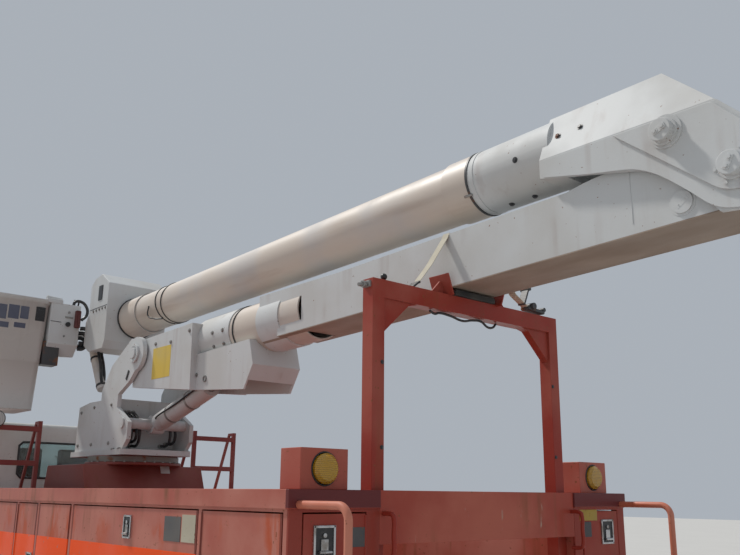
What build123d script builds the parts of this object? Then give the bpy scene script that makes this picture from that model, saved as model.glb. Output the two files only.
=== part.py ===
# Cherry picker truck: a conventional-cab truck with a steel utility body and
# a two-boom insulated aerial device, stowed rearward over its boom rest.
# +X is forward, +Y is the driver's left, +Z is up, the ground is Z = 0, in millimetres.
# Lengths along the truck are stations, measured forward from the body's rear face.

from build123d import *
from math import atan2, cos, hypot, radians, sin
import os

os.makedirs("parts", exist_ok=True)

# Ends of the whole vehicle, which set the middle that the origin stands under
ELBOW_PIN_STATION = -1516.0
ELBOW_PIN_HEIGHT = 2912.0
UPPER_NOSE_RADIUS = 176.0
BODY_LENGTH = 5200.0
CAB_REAR = BODY_LENGTH + 150.0
CAB_FRONT = CAB_REAR + 1250.0
HOOD_NOSE = CAB_FRONT + 1260.0
BUMPER_FRONT = HOOD_NOSE + 180.0
ORIGIN_STATION = (BUMPER_FRONT + ELBOW_PIN_STATION - UPPER_NOSE_RADIUS) / 2

# Wheels and axles
TYRE_RADIUS = 500.0
TYRE_WIDTH = 262.0
RIM_RADIUS = 292.0
HUB_BORE_RADIUS = 46.0
# Running clearance of pins, hubs and shafts, and seating clearance of tubes and glass
BEARING_CLEARANCE = 0.05
FIT = 0.3
# Length that a through cut runs past its material
CUT_MARGIN = 2.0
WHEEL_GAP = 1.0
REAR_AXLE_STATION = 1480.0
FRONT_AXLE_STATION = CAB_FRONT + 500.0
FRONT_TRACK_HALF = 1010.0
DUAL_CENTRE = 914.0
DUAL_OFFSET = 157.0

# Chassis rails
RAIL_OUTER = 432.0
RAIL_HEIGHT = 250.0
RAIL_FLANGE = 80.0
RAIL_WALL = 10.0
RAIL_TOP = 960.0
RAIL_REAR = 60.0
RAIL_FRONT = BUMPER_FRONT - 250.0
CROSSMEMBER_STATIONS = (180.0, 1000.0, 1980.0, 3000.0, 4200.0, BODY_LENGTH, RAIL_FRONT - 90.0)
CROSSMEMBER_LENGTH = 70.0
CROSSMEMBER_HEIGHT = RAIL_HEIGHT - 100.0
SILL_REAR = 100.0
SILL_FRONT = BODY_LENGTH - 20.0
REAR_BUMPER = (90.0, 1280.0, 200.0)
REAR_BUMPER_HEIGHT = 770.0
HITCH_SPACING = (86.0, 44.5)
HITCH_HOLE_RADIUS = 7.0
HOOD_PIN_STATION = RAIL_FRONT - 30.0
HOOD_PIN_HEIGHT = 740.0
HOOD_PIN_RADIUS = 16.0
HOOD_PIN_LENGTH = 38.0

# Utility body
BODY_HALF_WIDTH = 1220.0
PACK_INNER = 724.0
PACK_BOTTOM = 650.0
PACK_TOP = 1666.0
PACK_WALL = 24.0
CAP_HEIGHT = 80.0
CAP_PROUD = 10.0
DECK_BOTTOM = 1040.0
DECK_THICKNESS = 25.0
ARCH_RADIUS = 590.0
DOOR_THICKNESS = 30.0
DOOR_GAP = 6.0
DOOR_FLANGE = 70.0
DOOR_RECESS = 14.0
DOOR_RECESS_CUT = 20.0
HINGE_RADIUS = DOOR_GAP - FIT
DOOR_LOW = 690.0
DOOR_HIGH = 1572.0
DROP_DOOR_LOW = 1140.0

# Boom rest
POST_SIZE = 76.0
POST_REAR = 57.0
REST_TOP = 2669.0
BEAM_HEIGHT = 91.0
GUSSET_LEG = 235.0
GUSSET_TIP = 60.0
GUSSET_TIP_DROP = 14.0
GUSSET_INSET = 14.0

# Slewing centre and booms
SLEW_STATION = BODY_LENGTH - 1170.0
RING_RADIUS = 376.0
PEDESTAL_TOP = 1886.0
RING_TOP = 1940.0
TURNTABLE_GAP = 0.5
TURNTABLE_PLATE = 45.0
CHEEK_INNER = 264.0
CHEEK_OUTER = 300.0
BOOM_PIN_STATION = SLEW_STATION - 510.0
BOOM_PIN_HEIGHT = 2752.0
BOOM_PIN_RADIUS = 45.0
PIN_BORE = BOOM_PIN_RADIUS + BEARING_CLEARANCE
BASE_HALF_WIDTH = 250.0
BASE_WALL = 14.0
BASE_STEP = 50.0
SOCKET_WALL = 8.0
LOWER_TUBE_RADIUS = 187.5
TUBE_WALL = 12.0
ELBOW_HALF_WIDTH = 170.0
ELBOW_DEPTH = 300.0
ELBOW_WALL = 12.0
CYLINDER_BASE_STATION = BOOM_PIN_STATION + 140.0
CYLINDER_BASE_HEIGHT = 2195.0
ROD_EYE_STATION = BOOM_PIN_STATION - 920.0
ROD_EYE_HEIGHT = 2490.0
ROD_EYE_WIDTH = 90.0
ROD_PIN_RADIUS = 34.0
BARREL_RADIUS = 76.0
ROD_RADIUS = 38.0
UPPER_TUBE_RADIUS = 168.0
UPPER_AXIS_HEIGHT_FRONT = 3190.0
UPPER_FRONT_STATION = 4200.0
UPPER_AXIS_HEIGHT_REAR = 3314.0
UPPER_REAR_STATION = -560.0
UPPER_TUBE_START = -320.0
UPPER_TUBE_END = 4260.0
GOOSE_HALF_WIDTH = 208.0
GOOSE_WALL = 24.0
GOOSE_SHOULDER = 3225.0
GOOSE_RIDGE = 95.0

# Boom tip and bucket
TIP_HALF_WIDTH = 290.0
SHAFT_STATION = 4950.0
SHAFT_HEIGHT = 3110.0
SHAFT_RADIUS = 45.0
BUCKET_REAR = 4700.0
BUCKET_LENGTH = 610.0
BUCKET_INNER = 610.0
BUCKET_WIDTH = 600.0
BUCKET_BOTTOM = 2345.0
BUCKET_HEIGHT = 1010.0
BUCKET_WALL = 16.0

# Cab and hood
CAB_FLOOR = 960.0
BELT_HEIGHT = 1610.0
ROOF_HEIGHT = 2278.0
CAB_HALF_WIDTH = 990.0
ROOF_HALF_WIDTH = 900.0
CAB_WALL = 50.0
ROOF_REAR = CAB_REAR + 40.0
ROOF_FRONT = ROOF_REAR + 840.0
HOOD_WALL = 30.0
FENDER_HALF_WIDTH = 1170.0
HOOD_HALF_WIDTH = 700.0


def at(station):
    """X of a station, with the origin under the middle of the whole vehicle."""
    return station - ORIGIN_STATION


def save(piece, name):
    """Label a finished piece and write its file."""
    piece.part.label = name
    export_step(piece.part, f"parts/{name}.step")


def side_plane(y):
    """Elevation plane at Y = y, whose sketch runs forward and up."""
    return Plane(origin=(0, y, 0), x_dir=(1, 0, 0), z_dir=(0, -1, 0))


def lateral_plane(station, y, height):
    """Plane square to the Y axis at a point, for rounds that turn about Y."""
    return Plane(origin=(at(station), y, height), x_dir=(1, 0, 0), z_dir=(0, -1, 0))


SIDES = (("left", 1), ("right", -1))

# Chassis: two C-section rails, their crossmembers and the sills under the body
rail_bottom = RAIL_TOP - RAIL_HEIGHT
rail_mid = RAIL_TOP - RAIL_HEIGHT / 2
rail_centre = RAIL_OUTER - RAIL_FLANGE / 2
with BuildPart() as chassis_frame:
    with BuildSketch(Plane.YZ.offset(at(RAIL_REAR))):
        for _, hand in SIDES:
            with Locations((hand * rail_centre, rail_mid)):
                Rectangle(RAIL_FLANGE, RAIL_HEIGHT)
            with Locations((hand * (rail_centre - RAIL_WALL), rail_mid)):
                Rectangle(RAIL_FLANGE, RAIL_HEIGHT - 2 * RAIL_WALL, mode=Mode.SUBTRACT)
    extrude(amount=RAIL_FRONT - RAIL_REAR)
    web_gap = 2 * (RAIL_OUTER - RAIL_WALL)
    with Locations([(at(station), 0, rail_mid) for station in CROSSMEMBER_STATIONS]):
        Box(CROSSMEMBER_LENGTH, web_gap, CROSSMEMBER_HEIGHT)
    sill_height = DECK_BOTTOM - RAIL_TOP
    for _, hand in SIDES:
        with Locations((at((SILL_REAR + SILL_FRONT) / 2), hand * rail_centre, RAIL_TOP + sill_height / 2)):
            Box(SILL_FRONT - SILL_REAR, RAIL_FLANGE, sill_height)
        # Pin that the hood's arm hangs on, welded to the rail's web
        pin_y = hand * (RAIL_OUTER + HOOD_PIN_LENGTH / 2)
        with Locations(lateral_plane(HOOD_PIN_STATION, pin_y, HOOD_PIN_HEIGHT)):
            Cylinder(HOOD_PIN_RADIUS, HOOD_PIN_LENGTH)
    # Rear bumper beam across the rail ends
    with Locations((at(RAIL_REAR - REAR_BUMPER[0] / 2), 0, REAR_BUMPER_HEIGHT)):
        Box(*REAR_BUMPER)
    # Four bolt holes for a pintle hitch through the bumper beam
    with Locations(Plane(origin=(at(RAIL_REAR - REAR_BUMPER[0] / 2), 0, REAR_BUMPER_HEIGHT),
                         x_dir=(0, 1, 0), z_dir=(-1, 0, 0))):
        with GridLocations(HITCH_SPACING[0], HITCH_SPACING[1], 2, 2):
            Cylinder(HITCH_HOLE_RADIUS, REAR_BUMPER[0] + CUT_MARGIN, mode=Mode.SUBTRACT)
save(chassis_frame, "chassis_frame")

# Engine and gearbox as one plain block on two side mounts
ENGINE_REAR = CAB_FRONT + 20.0
ENGINE_FRONT = ENGINE_REAR + 940.0
ENGINE_HALF = 320.0
ENGINE_LOW = 640.0
ENGINE_HIGH = 1330.0
GEARBOX_LENGTH = 700.0
GEARBOX_RADIUS = 170.0
GEARBOX_HEIGHT = 780.0
RADIATOR_THICKNESS = 60.0
RADIATOR_HALF = 345.0
RADIATOR_TOP = 1320.0
RADIATOR_STATION = ENGINE_FRONT + 62.0
ENGINE_CHAMFER = 60.0
ENGINE_MOUNT_STATION = ENGINE_REAR + 400.0
ENGINE_MOUNT_LENGTH = 90.0
ENGINE_MOUNT_HEIGHT = 70.0
FAN_RADIUS = 60.0
FAN_LENGTH = 80.0
FAN_OVERLAP = 10.0
fan_height = rail_mid + 180.0
with BuildPart() as engine_block:
    with Locations((at((ENGINE_REAR + ENGINE_FRONT) / 2), 0, (ENGINE_LOW + ENGINE_HIGH) / 2)):
        Box(ENGINE_FRONT - ENGINE_REAR, 2 * ENGINE_HALF, ENGINE_HIGH - ENGINE_LOW)
    chamfer(engine_block.edges().filter_by(Axis.X), ENGINE_CHAMFER)
    with BuildSketch(Plane.YZ.offset(at(ENGINE_REAR - GEARBOX_LENGTH))):
        with Locations((0, GEARBOX_HEIGHT)):
            Circle(GEARBOX_RADIUS)
    extrude(amount=GEARBOX_LENGTH)
    with Locations((at(ENGINE_MOUNT_STATION), 0, rail_mid)):
        Box(ENGINE_MOUNT_LENGTH, 2 * (RAIL_OUTER - RAIL_WALL - FIT), ENGINE_MOUNT_HEIGHT)
    # Radiator slab on the fan shaft ahead of the block
    with Locations((at(RADIATOR_STATION), 0, fan_height)):
        Box(RADIATOR_THICKNESS, 2 * RADIATOR_HALF, 2 * (RADIATOR_TOP - fan_height))
    fan_start = (at(ENGINE_FRONT - FAN_OVERLAP), 0, fan_height)
    with Locations(Plane(origin=fan_start, x_dir=(0, 1, 0), z_dir=(1, 0, 0))):
        Cylinder(FAN_RADIUS, FAN_LENGTH, align=(Align.CENTER, Align.CENTER, Align.MIN))
save(engine_block, "engine_block")

# Front axle: a dropped I-beam with kingpin eyes, and a leaf spring on each side
SPRING_Y = 392.0
SPRING_WIDTH = 76.0
KINGPIN_Y = 842.0
KINGPIN_RADIUS = 24.0
BEAM_EYE_RADIUS = 52.0
BEAM_EYE_HEIGHT = 96.0
AXLE_BEAM = (96.0, 84.0)
BEAM_CHANNEL = (30.0, 44.0)
BEAM_CHANNEL_SHIFT = 34.0
BEAM_INTO_EYE = 12.0
FRONT_PAD = (130.0, 100.0, 30.0)
FRONT_PAD_HEIGHT = TYRE_RADIUS + 55.0
FRONT_SPRING_HEIGHT = TYRE_RADIUS + 68.0
FRONT_SPRING_LENGTH = 1250.0
FRONT_SPRING_DEPTH = 60.0
FRONT_HANGER_REACH = FRONT_SPRING_LENGTH / 2 - 25.0
FRONT_HANGER_DROP = 44.0
HANGER_LENGTH = 60.0
LEAF_END_RISE = 90.0
LEAF_END_THICKNESS = 28.0


def leaf_spring(station, centre_low, length, depth, hand):
    """Arched leaf pack, centre low and ends high, extruded to its width."""
    with BuildSketch(Plane(origin=(at(station), hand * SPRING_Y - SPRING_WIDTH / 2, centre_low),
                           x_dir=(1, 0, 0), z_dir=(0, -1, 0))) as leaves:
        with BuildLine():
            end_top = LEAF_END_RISE + LEAF_END_THICKNESS
            under = ThreePointArc((-length / 2, LEAF_END_RISE), (0, 0), (length / 2, LEAF_END_RISE))
            over = ThreePointArc((-length / 2, end_top), (0, depth), (length / 2, end_top))
            Line(under @ 0, over @ 0)
            Line(under @ 1, over @ 1)
        make_face()
    extrude(leaves.sketch, amount=-SPRING_WIDTH)


with BuildPart() as front_axle:
    beam_half = KINGPIN_Y - BEAM_EYE_RADIUS + BEAM_INTO_EYE
    with BuildSketch(Plane.XZ.offset(-beam_half)):
        with Locations((at(FRONT_AXLE_STATION), TYRE_RADIUS)):
            Rectangle(*AXLE_BEAM)
            with Locations((BEAM_CHANNEL_SHIFT, 0), (-BEAM_CHANNEL_SHIFT, 0)):
                Rectangle(*BEAM_CHANNEL, mode=Mode.SUBTRACT)
    extrude(amount=2 * beam_half)
    with Locations([(at(FRONT_AXLE_STATION), hand * KINGPIN_Y, TYRE_RADIUS) for _, hand in SIDES]):
        Cylinder(BEAM_EYE_RADIUS, BEAM_EYE_HEIGHT)
    with Locations([(at(FRONT_AXLE_STATION), hand * SPRING_Y, FRONT_PAD_HEIGHT) for _, hand in SIDES]):
        Box(*FRONT_PAD)
    for _, hand in SIDES:
        leaf_spring(FRONT_AXLE_STATION, FRONT_SPRING_HEIGHT, FRONT_SPRING_LENGTH, FRONT_SPRING_DEPTH, hand)
        hanger_z = rail_bottom - FRONT_HANGER_DROP / 2
        with Locations([(at(FRONT_AXLE_STATION + reach), hand * SPRING_Y, hanger_z)
                        for reach in (-FRONT_HANGER_REACH, FRONT_HANGER_REACH)]):
            Box(HANGER_LENGTH, SPRING_WIDTH, FRONT_HANGER_DROP)
    with Locations([(at(FRONT_AXLE_STATION), hand * KINGPIN_Y, TYRE_RADIUS) for _, hand in SIDES]):
        Cylinder(KINGPIN_RADIUS + BEARING_CLEARANCE, BEAM_EYE_HEIGHT + CUT_MARGIN, mode=Mode.SUBTRACT)
save(front_axle, "front_axle")

# Steering knuckle: a fork over the beam's eye, its kingpin and the wheel spindle
KNUCKLE_GAP = 1.0
FORK_THICKNESS = 36.0
SPINDLE_LENGTH = 200.0
SPINDLE_SEAT = KINGPIN_Y + 73.0
KNUCKLE_LENGTH = 84.0
FORK_WIDTH = 110.0
KNUCKLE_WEB = 18.0
STEERING_ARM_STATION = FRONT_AXLE_STATION - 110.0
STEERING_ARM_Y = KINGPIN_Y + 20.0
STEERING_ARM = (140.0, 50.0)
for side, hand in SIDES:
    with BuildPart() as knuckle:
        pin_height = BEAM_EYE_HEIGHT + 2 * KNUCKLE_GAP + 2 * FORK_THICKNESS
        fork_z = BEAM_EYE_HEIGHT / 2 + KNUCKLE_GAP + FORK_THICKNESS / 2
        with Locations((at(FRONT_AXLE_STATION), hand * KINGPIN_Y, TYRE_RADIUS)):
            Cylinder(KINGPIN_RADIUS, pin_height)
        with Locations([(at(FRONT_AXLE_STATION), hand * (SPINDLE_SEAT - FORK_WIDTH / 2), TYRE_RADIUS + dz)
                        for dz in (-fork_z, fork_z)]):
            Box(KNUCKLE_LENGTH, FORK_WIDTH, FORK_THICKNESS)
        with Locations((at(FRONT_AXLE_STATION), hand * (SPINDLE_SEAT - KNUCKLE_WEB / 2), TYRE_RADIUS)):
            Box(KNUCKLE_LENGTH, KNUCKLE_WEB, pin_height)
        spindle_y = hand * (SPINDLE_SEAT + SPINDLE_LENGTH / 2)
        with Locations(lateral_plane(FRONT_AXLE_STATION, spindle_y, TYRE_RADIUS)):
            Cylinder(HUB_BORE_RADIUS, SPINDLE_LENGTH)
        with Locations((at(STEERING_ARM_STATION), hand * STEERING_ARM_Y, TYRE_RADIUS - fork_z)):
            Box(*STEERING_ARM, FORK_THICKNESS)
    save(knuckle, f"knuckle_{side}")

# Rear axle: tube, differential, spindles, leaf springs and the propeller shaft
AXLE_TUBE_RADIUS = 70.0
DIFF_RADIUS = 200.0
DIFF_COVER_RADIUS = 110.0
DIFF_LENGTH = 330.0
DIFF_DRUM = 120.0
SPINDLE_START = 560.0
SPINDLE_END = 1135.0
SHAFT_TUBE_RADIUS = 45.0
SHAFT_REAR_REACH = 150.0
SHAFT_REAR_RISE = 20.0
SHAFT_FRONT_GAP = 15.0
SHAFT_FRONT_DROP = 60.0
SHAFT_FLANGE_RADIUS = 72.0
SHAFT_FLANGE_LENGTH = 36.0
REAR_PAD = (150.0, 100.0, 40.0)
REAR_PAD_HEIGHT = TYRE_RADIUS + 80.0
REAR_SPRING_HEIGHT = TYRE_RADIUS + 86.0
REAR_SPRING_LENGTH = 1300.0
REAR_SPRING_DEPTH = 90.0
REAR_HANGER_REACH = REAR_SPRING_LENGTH / 2 - 30.0
REAR_HANGER_DROP = 30.0
shaft_start = (at(REAR_AXLE_STATION + SHAFT_REAR_REACH), 0, TYRE_RADIUS + SHAFT_REAR_RISE)
shaft_end = (at(ENGINE_REAR - GEARBOX_LENGTH - SHAFT_FRONT_GAP), 0, GEARBOX_HEIGHT - SHAFT_FRONT_DROP)
with BuildPart() as rear_axle:
    with Locations(lateral_plane(REAR_AXLE_STATION, 0, TYRE_RADIUS)):
        Cylinder(AXLE_TUBE_RADIUS, 2 * SPINDLE_START)
        Cylinder(HUB_BORE_RADIUS, 2 * SPINDLE_END)
    # Differential housing: a short drum along the truck with coned covers
    with BuildSketch(lateral_plane(REAR_AXLE_STATION, 0, TYRE_RADIUS)):
        with BuildLine():
            Polyline((-DIFF_LENGTH / 2, 0), (-DIFF_LENGTH / 2, DIFF_COVER_RADIUS),
                     (-DIFF_DRUM / 2, DIFF_RADIUS), (DIFF_DRUM / 2, DIFF_RADIUS),
                     (DIFF_LENGTH / 2, DIFF_COVER_RADIUS), (DIFF_LENGTH / 2, 0), close=True)
        make_face()
    revolve(axis=Axis((at(REAR_AXLE_STATION), 0, TYRE_RADIUS), (1, 0, 0)))
    with Locations([(at(REAR_AXLE_STATION), hand * SPRING_Y, REAR_PAD_HEIGHT) for _, hand in SIDES]):
        Box(*REAR_PAD)
    for _, hand in SIDES:
        leaf_spring(REAR_AXLE_STATION, REAR_SPRING_HEIGHT, REAR_SPRING_LENGTH, REAR_SPRING_DEPTH, hand)
        hanger_z = rail_bottom - REAR_HANGER_DROP / 2
        with Locations([(at(REAR_AXLE_STATION + reach), hand * SPRING_Y, hanger_z)
                        for reach in (-REAR_HANGER_REACH, REAR_HANGER_REACH)]):
            Box(HANGER_LENGTH, SPRING_WIDTH, REAR_HANGER_DROP)
    shaft_length = hypot(shaft_end[0] - shaft_start[0], shaft_end[2] - shaft_start[2])
    shaft_dir = (shaft_end[0] - shaft_start[0], 0, shaft_end[2] - shaft_start[2])
    with BuildSketch(Plane(origin=shaft_start, x_dir=(0, 1, 0), z_dir=shaft_dir)):
        Circle(SHAFT_TUBE_RADIUS)
    extrude(amount=shaft_length)
    # Flange against the gearbox's rear face
    with Locations(Plane(origin=(at(ENGINE_REAR - GEARBOX_LENGTH - FIT), 0, shaft_end[2]),
                         x_dir=(0, 1, 0), z_dir=(-1, 0, 0))):
        Cylinder(SHAFT_FLANGE_RADIUS, SHAFT_FLANGE_LENGTH, align=(Align.CENTER, Align.CENTER, Align.MIN))
save(rear_axle, "rear_axle")

# Wheels: a turned tyre on a dished disc wheel with hand holes
TYRE_BULGE_RADIUS = 392.0
TREAD_INSET = 22.0
BEAD_INSET = 30.0
BEAD_SEAT = 0.5
RIM_LIP = 14.0
RIM_FLANGE_HEIGHT = 12.0
RIM_FLANGE_WIDTH = 10.0
RIM_INSET = 15.0
DISC_THICKNESS = 22.0
HUB_RADIUS = 110.0
HUB_FACE_RADIUS = 150.0
DISH_INNER_RADIUS = 170.0
DISH_OUTER_RADIUS = 254.0
DISH_SHARE = 0.6
HAND_HOLES = 5
HAND_HOLE_RING = 212.0
HAND_HOLE_RADIUS = 34.0
DISC_INTO_HUB = 8.0
DISC_INTO_WELL = 3.0
FRONT_DISC_MOUNT = FRONT_TRACK_HALF + 84.0
FRONT_DISC_REACH = FRONT_TRACK_HALF + 20.0
FRONT_HUB_OUTER = FRONT_TRACK_HALF + 120.0
REAR_DISC_REACH = 86.0
REAR_HUB_OUTER = DUAL_CENTRE + 230.0
REAR_CAP_RADIUS = HUB_BORE_RADIUS + 30.0
REAR_CAP_THICKNESS = 16.0
REAR_CAP_Y = REAR_HUB_OUTER + 4.0


def tyre_ring(y_centre, station):
    """One tyre as a revolved carcass: bead, bulged sidewalls and a flat tread."""
    half = TYRE_WIDTH / 2
    bead = RIM_RADIUS + BEAD_SEAT
    centre = (at(station), y_centre, TYRE_RADIUS)
    with BuildSketch(Plane(origin=centre, x_dir=(0, 0, 1), z_dir=(1, 0, 0))) as carcass:
        with BuildLine():
            Polyline((bead, half - BEAD_INSET), (TYRE_BULGE_RADIUS, half),
                     (TYRE_RADIUS, half - TREAD_INSET), (TYRE_RADIUS, TREAD_INSET - half),
                     (TYRE_BULGE_RADIUS, -half), (bead, BEAD_INSET - half), close=True)
        make_face()
    revolve(carcass.sketch, axis=Axis(centre, (0, 1, 0)))


def disc_rim(y_centre, mount_y, reach_y, station):
    """Rim barrel with raised flanges, and a disc dished from its hub face to the barrel."""
    half = TYRE_WIDTH / 2 - RIM_INSET
    lip = RIM_RADIUS + RIM_FLANGE_HEIGHT
    well = RIM_RADIUS - RIM_LIP
    thick = DISC_THICKNESS if reach_y > mount_y else -DISC_THICKNESS
    dish_y = mount_y + DISH_SHARE * (reach_y - mount_y)
    face = ((HUB_RADIUS - DISC_INTO_HUB, mount_y), (HUB_FACE_RADIUS, mount_y), (DISH_INNER_RADIUS, dish_y),
            (DISH_OUTER_RADIUS, dish_y), (well + DISC_INTO_WELL, reach_y))
    back = [(radius, y + thick) for radius, y in reversed(face)]
    low = y_centre - half
    high = y_centre + half
    axle = (at(station), 0, TYRE_RADIUS)
    with BuildSketch(Plane(origin=axle, x_dir=(0, 0, 1), z_dir=(-1, 0, 0))) as section:
        with BuildLine():
            Polyline((well, low), (lip, low), (lip, low + RIM_FLANGE_WIDTH), (RIM_RADIUS, low + RIM_LIP),
                     (RIM_RADIUS, high - RIM_LIP), (lip, high - RIM_FLANGE_WIDTH), (lip, high), (well, high),
                     close=True)
        make_face()
        with BuildLine():
            Polyline(*face, *back, close=True)
        make_face()
    revolve(section.sketch, axis=Axis(axle, (0, 1, 0)))
    with Locations(lateral_plane(station, dish_y + thick / 2, TYRE_RADIUS)):
        with PolarLocations(HAND_HOLE_RING, HAND_HOLES):
            Cylinder(HAND_HOLE_RADIUS, 2 * DISC_THICKNESS, mode=Mode.SUBTRACT)


def hub(station, y_low, y_high):
    """Hub drum between two Y values, bored for its spindle."""
    with Locations(lateral_plane(station, (y_low + y_high) / 2, TYRE_RADIUS)):
        Cylinder(HUB_RADIUS, abs(y_high - y_low))


def hub_bore(station, y_low, y_high):
    """Running bore through the hub and discs."""
    with Locations(lateral_plane(station, (y_low + y_high) / 2, TYRE_RADIUS)):
        Cylinder(HUB_BORE_RADIUS + BEARING_CLEARANCE, abs(y_high - y_low), mode=Mode.SUBTRACT)


for side, hand in SIDES:
    with BuildPart() as tyre_front:
        tyre_ring(hand * FRONT_TRACK_HALF, FRONT_AXLE_STATION)
    save(tyre_front, f"tyre_front_{side}")
    with BuildPart() as rim_front:
        disc_rim(hand * FRONT_TRACK_HALF, hand * FRONT_DISC_MOUNT, hand * FRONT_DISC_REACH,
                 FRONT_AXLE_STATION)
        hub(FRONT_AXLE_STATION, hand * (SPINDLE_SEAT + WHEEL_GAP), hand * FRONT_HUB_OUTER)
        bore_end = SPINDLE_SEAT + SPINDLE_LENGTH + CUT_MARGIN
        hub_bore(FRONT_AXLE_STATION, hand * SPINDLE_SEAT, hand * bore_end)
    save(rim_front, f"rim_front_{side}")
    with BuildPart() as tyres_rear:
        for shift in (-DUAL_OFFSET, DUAL_OFFSET):
            tyre_ring(hand * DUAL_CENTRE + shift, REAR_AXLE_STATION)
    save(tyres_rear, f"tyres_rear_{side}")
    with BuildPart() as rims_rear:
        for shift in (-1, 1):
            disc_rim(hand * (DUAL_CENTRE + shift * DUAL_OFFSET), hand * DUAL_CENTRE,
                     hand * (DUAL_CENTRE + shift * REAR_DISC_REACH), REAR_AXLE_STATION)
        hub(REAR_AXLE_STATION, hand * (SPINDLE_START + WHEEL_GAP), hand * REAR_HUB_OUTER)
        hub_bore(REAR_AXLE_STATION, hand * SPINDLE_START, hand * (SPINDLE_END + CUT_MARGIN))
        with Locations(lateral_plane(REAR_AXLE_STATION, hand * REAR_CAP_Y, TYRE_RADIUS)):
            Cylinder(REAR_CAP_RADIUS, REAR_CAP_THICKNESS)
    save(rims_rear, f"rims_rear_{side}")

# Utility body side packs: steel cabinets with one pocket behind each door
SKIRT_REAR = 3215.0
# Columns: name, rear station, front station, low edge, high edge, hinged edge
SIDE_DOORS = (
    ("rear", 40.0, 700.0, DOOR_LOW, DOOR_HIGH, "front"),
    ("wheel", 730.0, 2232.0, DROP_DOOR_LOW, DOOR_HIGH, "bottom"),
    ("middle", 2262.0, 2790.0, DOOR_LOW, DOOR_HIGH, "rear"),
    ("narrow", 2820.0, 3185.0, DOOR_LOW, DOOR_HIGH, "front"),
    ("front", SKIRT_REAR, BODY_LENGTH - 50.0, DROP_DOOR_LOW, DOOR_HIGH, "bottom"),
)
REAR_WALL_CUT = 44.0
POCKET_MARGIN = 0.01
REAR_DOOR_INNER = PACK_INNER + 76.0
REAR_DOOR_OUTER = BODY_HALF_WIDTH - 70.0
RAIL_PIPE_RADIUS = 17.0
GRAB_REACH = 330.0
GRAB_Y = BODY_HALF_WIDTH - 44.0
GRAB_HEIGHT = 1604.0
GRAB_DROP = 480.0
GRAB_BEND = 60.0
LAMP_BOX = (150.0, 262.0, 176.0)
LAMP_BOX_Y = 1000.0
LAMP_STATION = 50.0
LAMP_RADIUS = 66.0
LAMP_SEAT = 12.0
LAMP_CLEARANCE = 1.0
LENS_LENGTH = 40.0
LENS_EDGE = 14.0

for side, hand in SIDES:
    with BuildPart() as side_pack:
        mid_y = hand * (BODY_HALF_WIDTH + PACK_INNER) / 2
        depth = BODY_HALF_WIDTH - PACK_INNER
        with Locations((at(BODY_LENGTH / 2), mid_y, (PACK_TOP + PACK_BOTTOM) / 2)):
            Box(BODY_LENGTH, depth, PACK_TOP - PACK_BOTTOM)
        # Cap channel round the outer and rear edges of the roof
        with Locations((at((BODY_LENGTH - CAP_PROUD) / 2), mid_y + hand * CAP_PROUD / 2,
                        PACK_TOP - CAP_HEIGHT / 2)):
            Box(BODY_LENGTH + CAP_PROUD, depth + CAP_PROUD, CAP_HEIGHT)
        for _, rear, front, low, high, _ in SIDE_DOORS:
            pocket_y = hand * (BODY_HALF_WIDTH - (depth - PACK_WALL) / 2)
            with Locations((at((rear + front) / 2), pocket_y, (low + high) / 2)):
                Box(front - rear, depth - PACK_WALL + POCKET_MARGIN, high - low, mode=Mode.SUBTRACT)
        with Locations(lateral_plane(REAR_AXLE_STATION, mid_y, TYRE_RADIUS)):
            Cylinder(ARCH_RADIUS, depth + 2 * CUT_MARGIN, mode=Mode.SUBTRACT)
        # Opening in the rear wall behind the rear door
        door_mid = hand * (REAR_DOOR_INNER + REAR_DOOR_OUTER) / 2
        with Locations((at(REAR_WALL_CUT / 2 - CUT_MARGIN), door_mid, (DOOR_LOW + DOOR_HIGH) / 2)):
            Box(REAR_WALL_CUT, REAR_DOOR_OUTER - REAR_DOOR_INNER, DOOR_HIGH - DOOR_LOW, mode=Mode.SUBTRACT)
        # Below the front drop door the pack is an open skirt over the chassis
        skirt_mid_y = hand * (BODY_HALF_WIDTH - PACK_WALL + PACK_INNER - CUT_MARGIN) / 2
        with Locations((at((SKIRT_REAR + BODY_LENGTH - PACK_WALL) / 2), skirt_mid_y,
                        (PACK_BOTTOM + DROP_DOOR_LOW - PACK_WALL) / 2)):
            Box(BODY_LENGTH - PACK_WALL - SKIRT_REAR, depth - PACK_WALL + CUT_MARGIN,
                DROP_DOOR_LOW - PACK_WALL - PACK_BOTTOM, mode=Mode.SUBTRACT)
    save(side_pack, f"side_pack_{side}")

# Lamp boxes on the packs' rear ends, each with a round seat for its lens
lamp_height = PACK_TOP + LAMP_BOX[2] / 2
with BuildPart() as lamp_boxes:
    lamp_box_x = at(LAMP_STATION + LAMP_BOX[0] / 2)
    with Locations([(lamp_box_x, hand * LAMP_BOX_Y, lamp_height) for _, hand in SIDES]):
        Box(*LAMP_BOX)
    with Locations([Plane(origin=(at(LAMP_STATION), hand * LAMP_BOX_Y, lamp_height),
                          x_dir=(0, 1, 0), z_dir=(-1, 0, 0)) for _, hand in SIDES]):
        Cylinder(LAMP_RADIUS + LAMP_CLEARANCE, 2 * LAMP_SEAT, mode=Mode.SUBTRACT)
save(lamp_boxes, "lamp_boxes")

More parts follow.
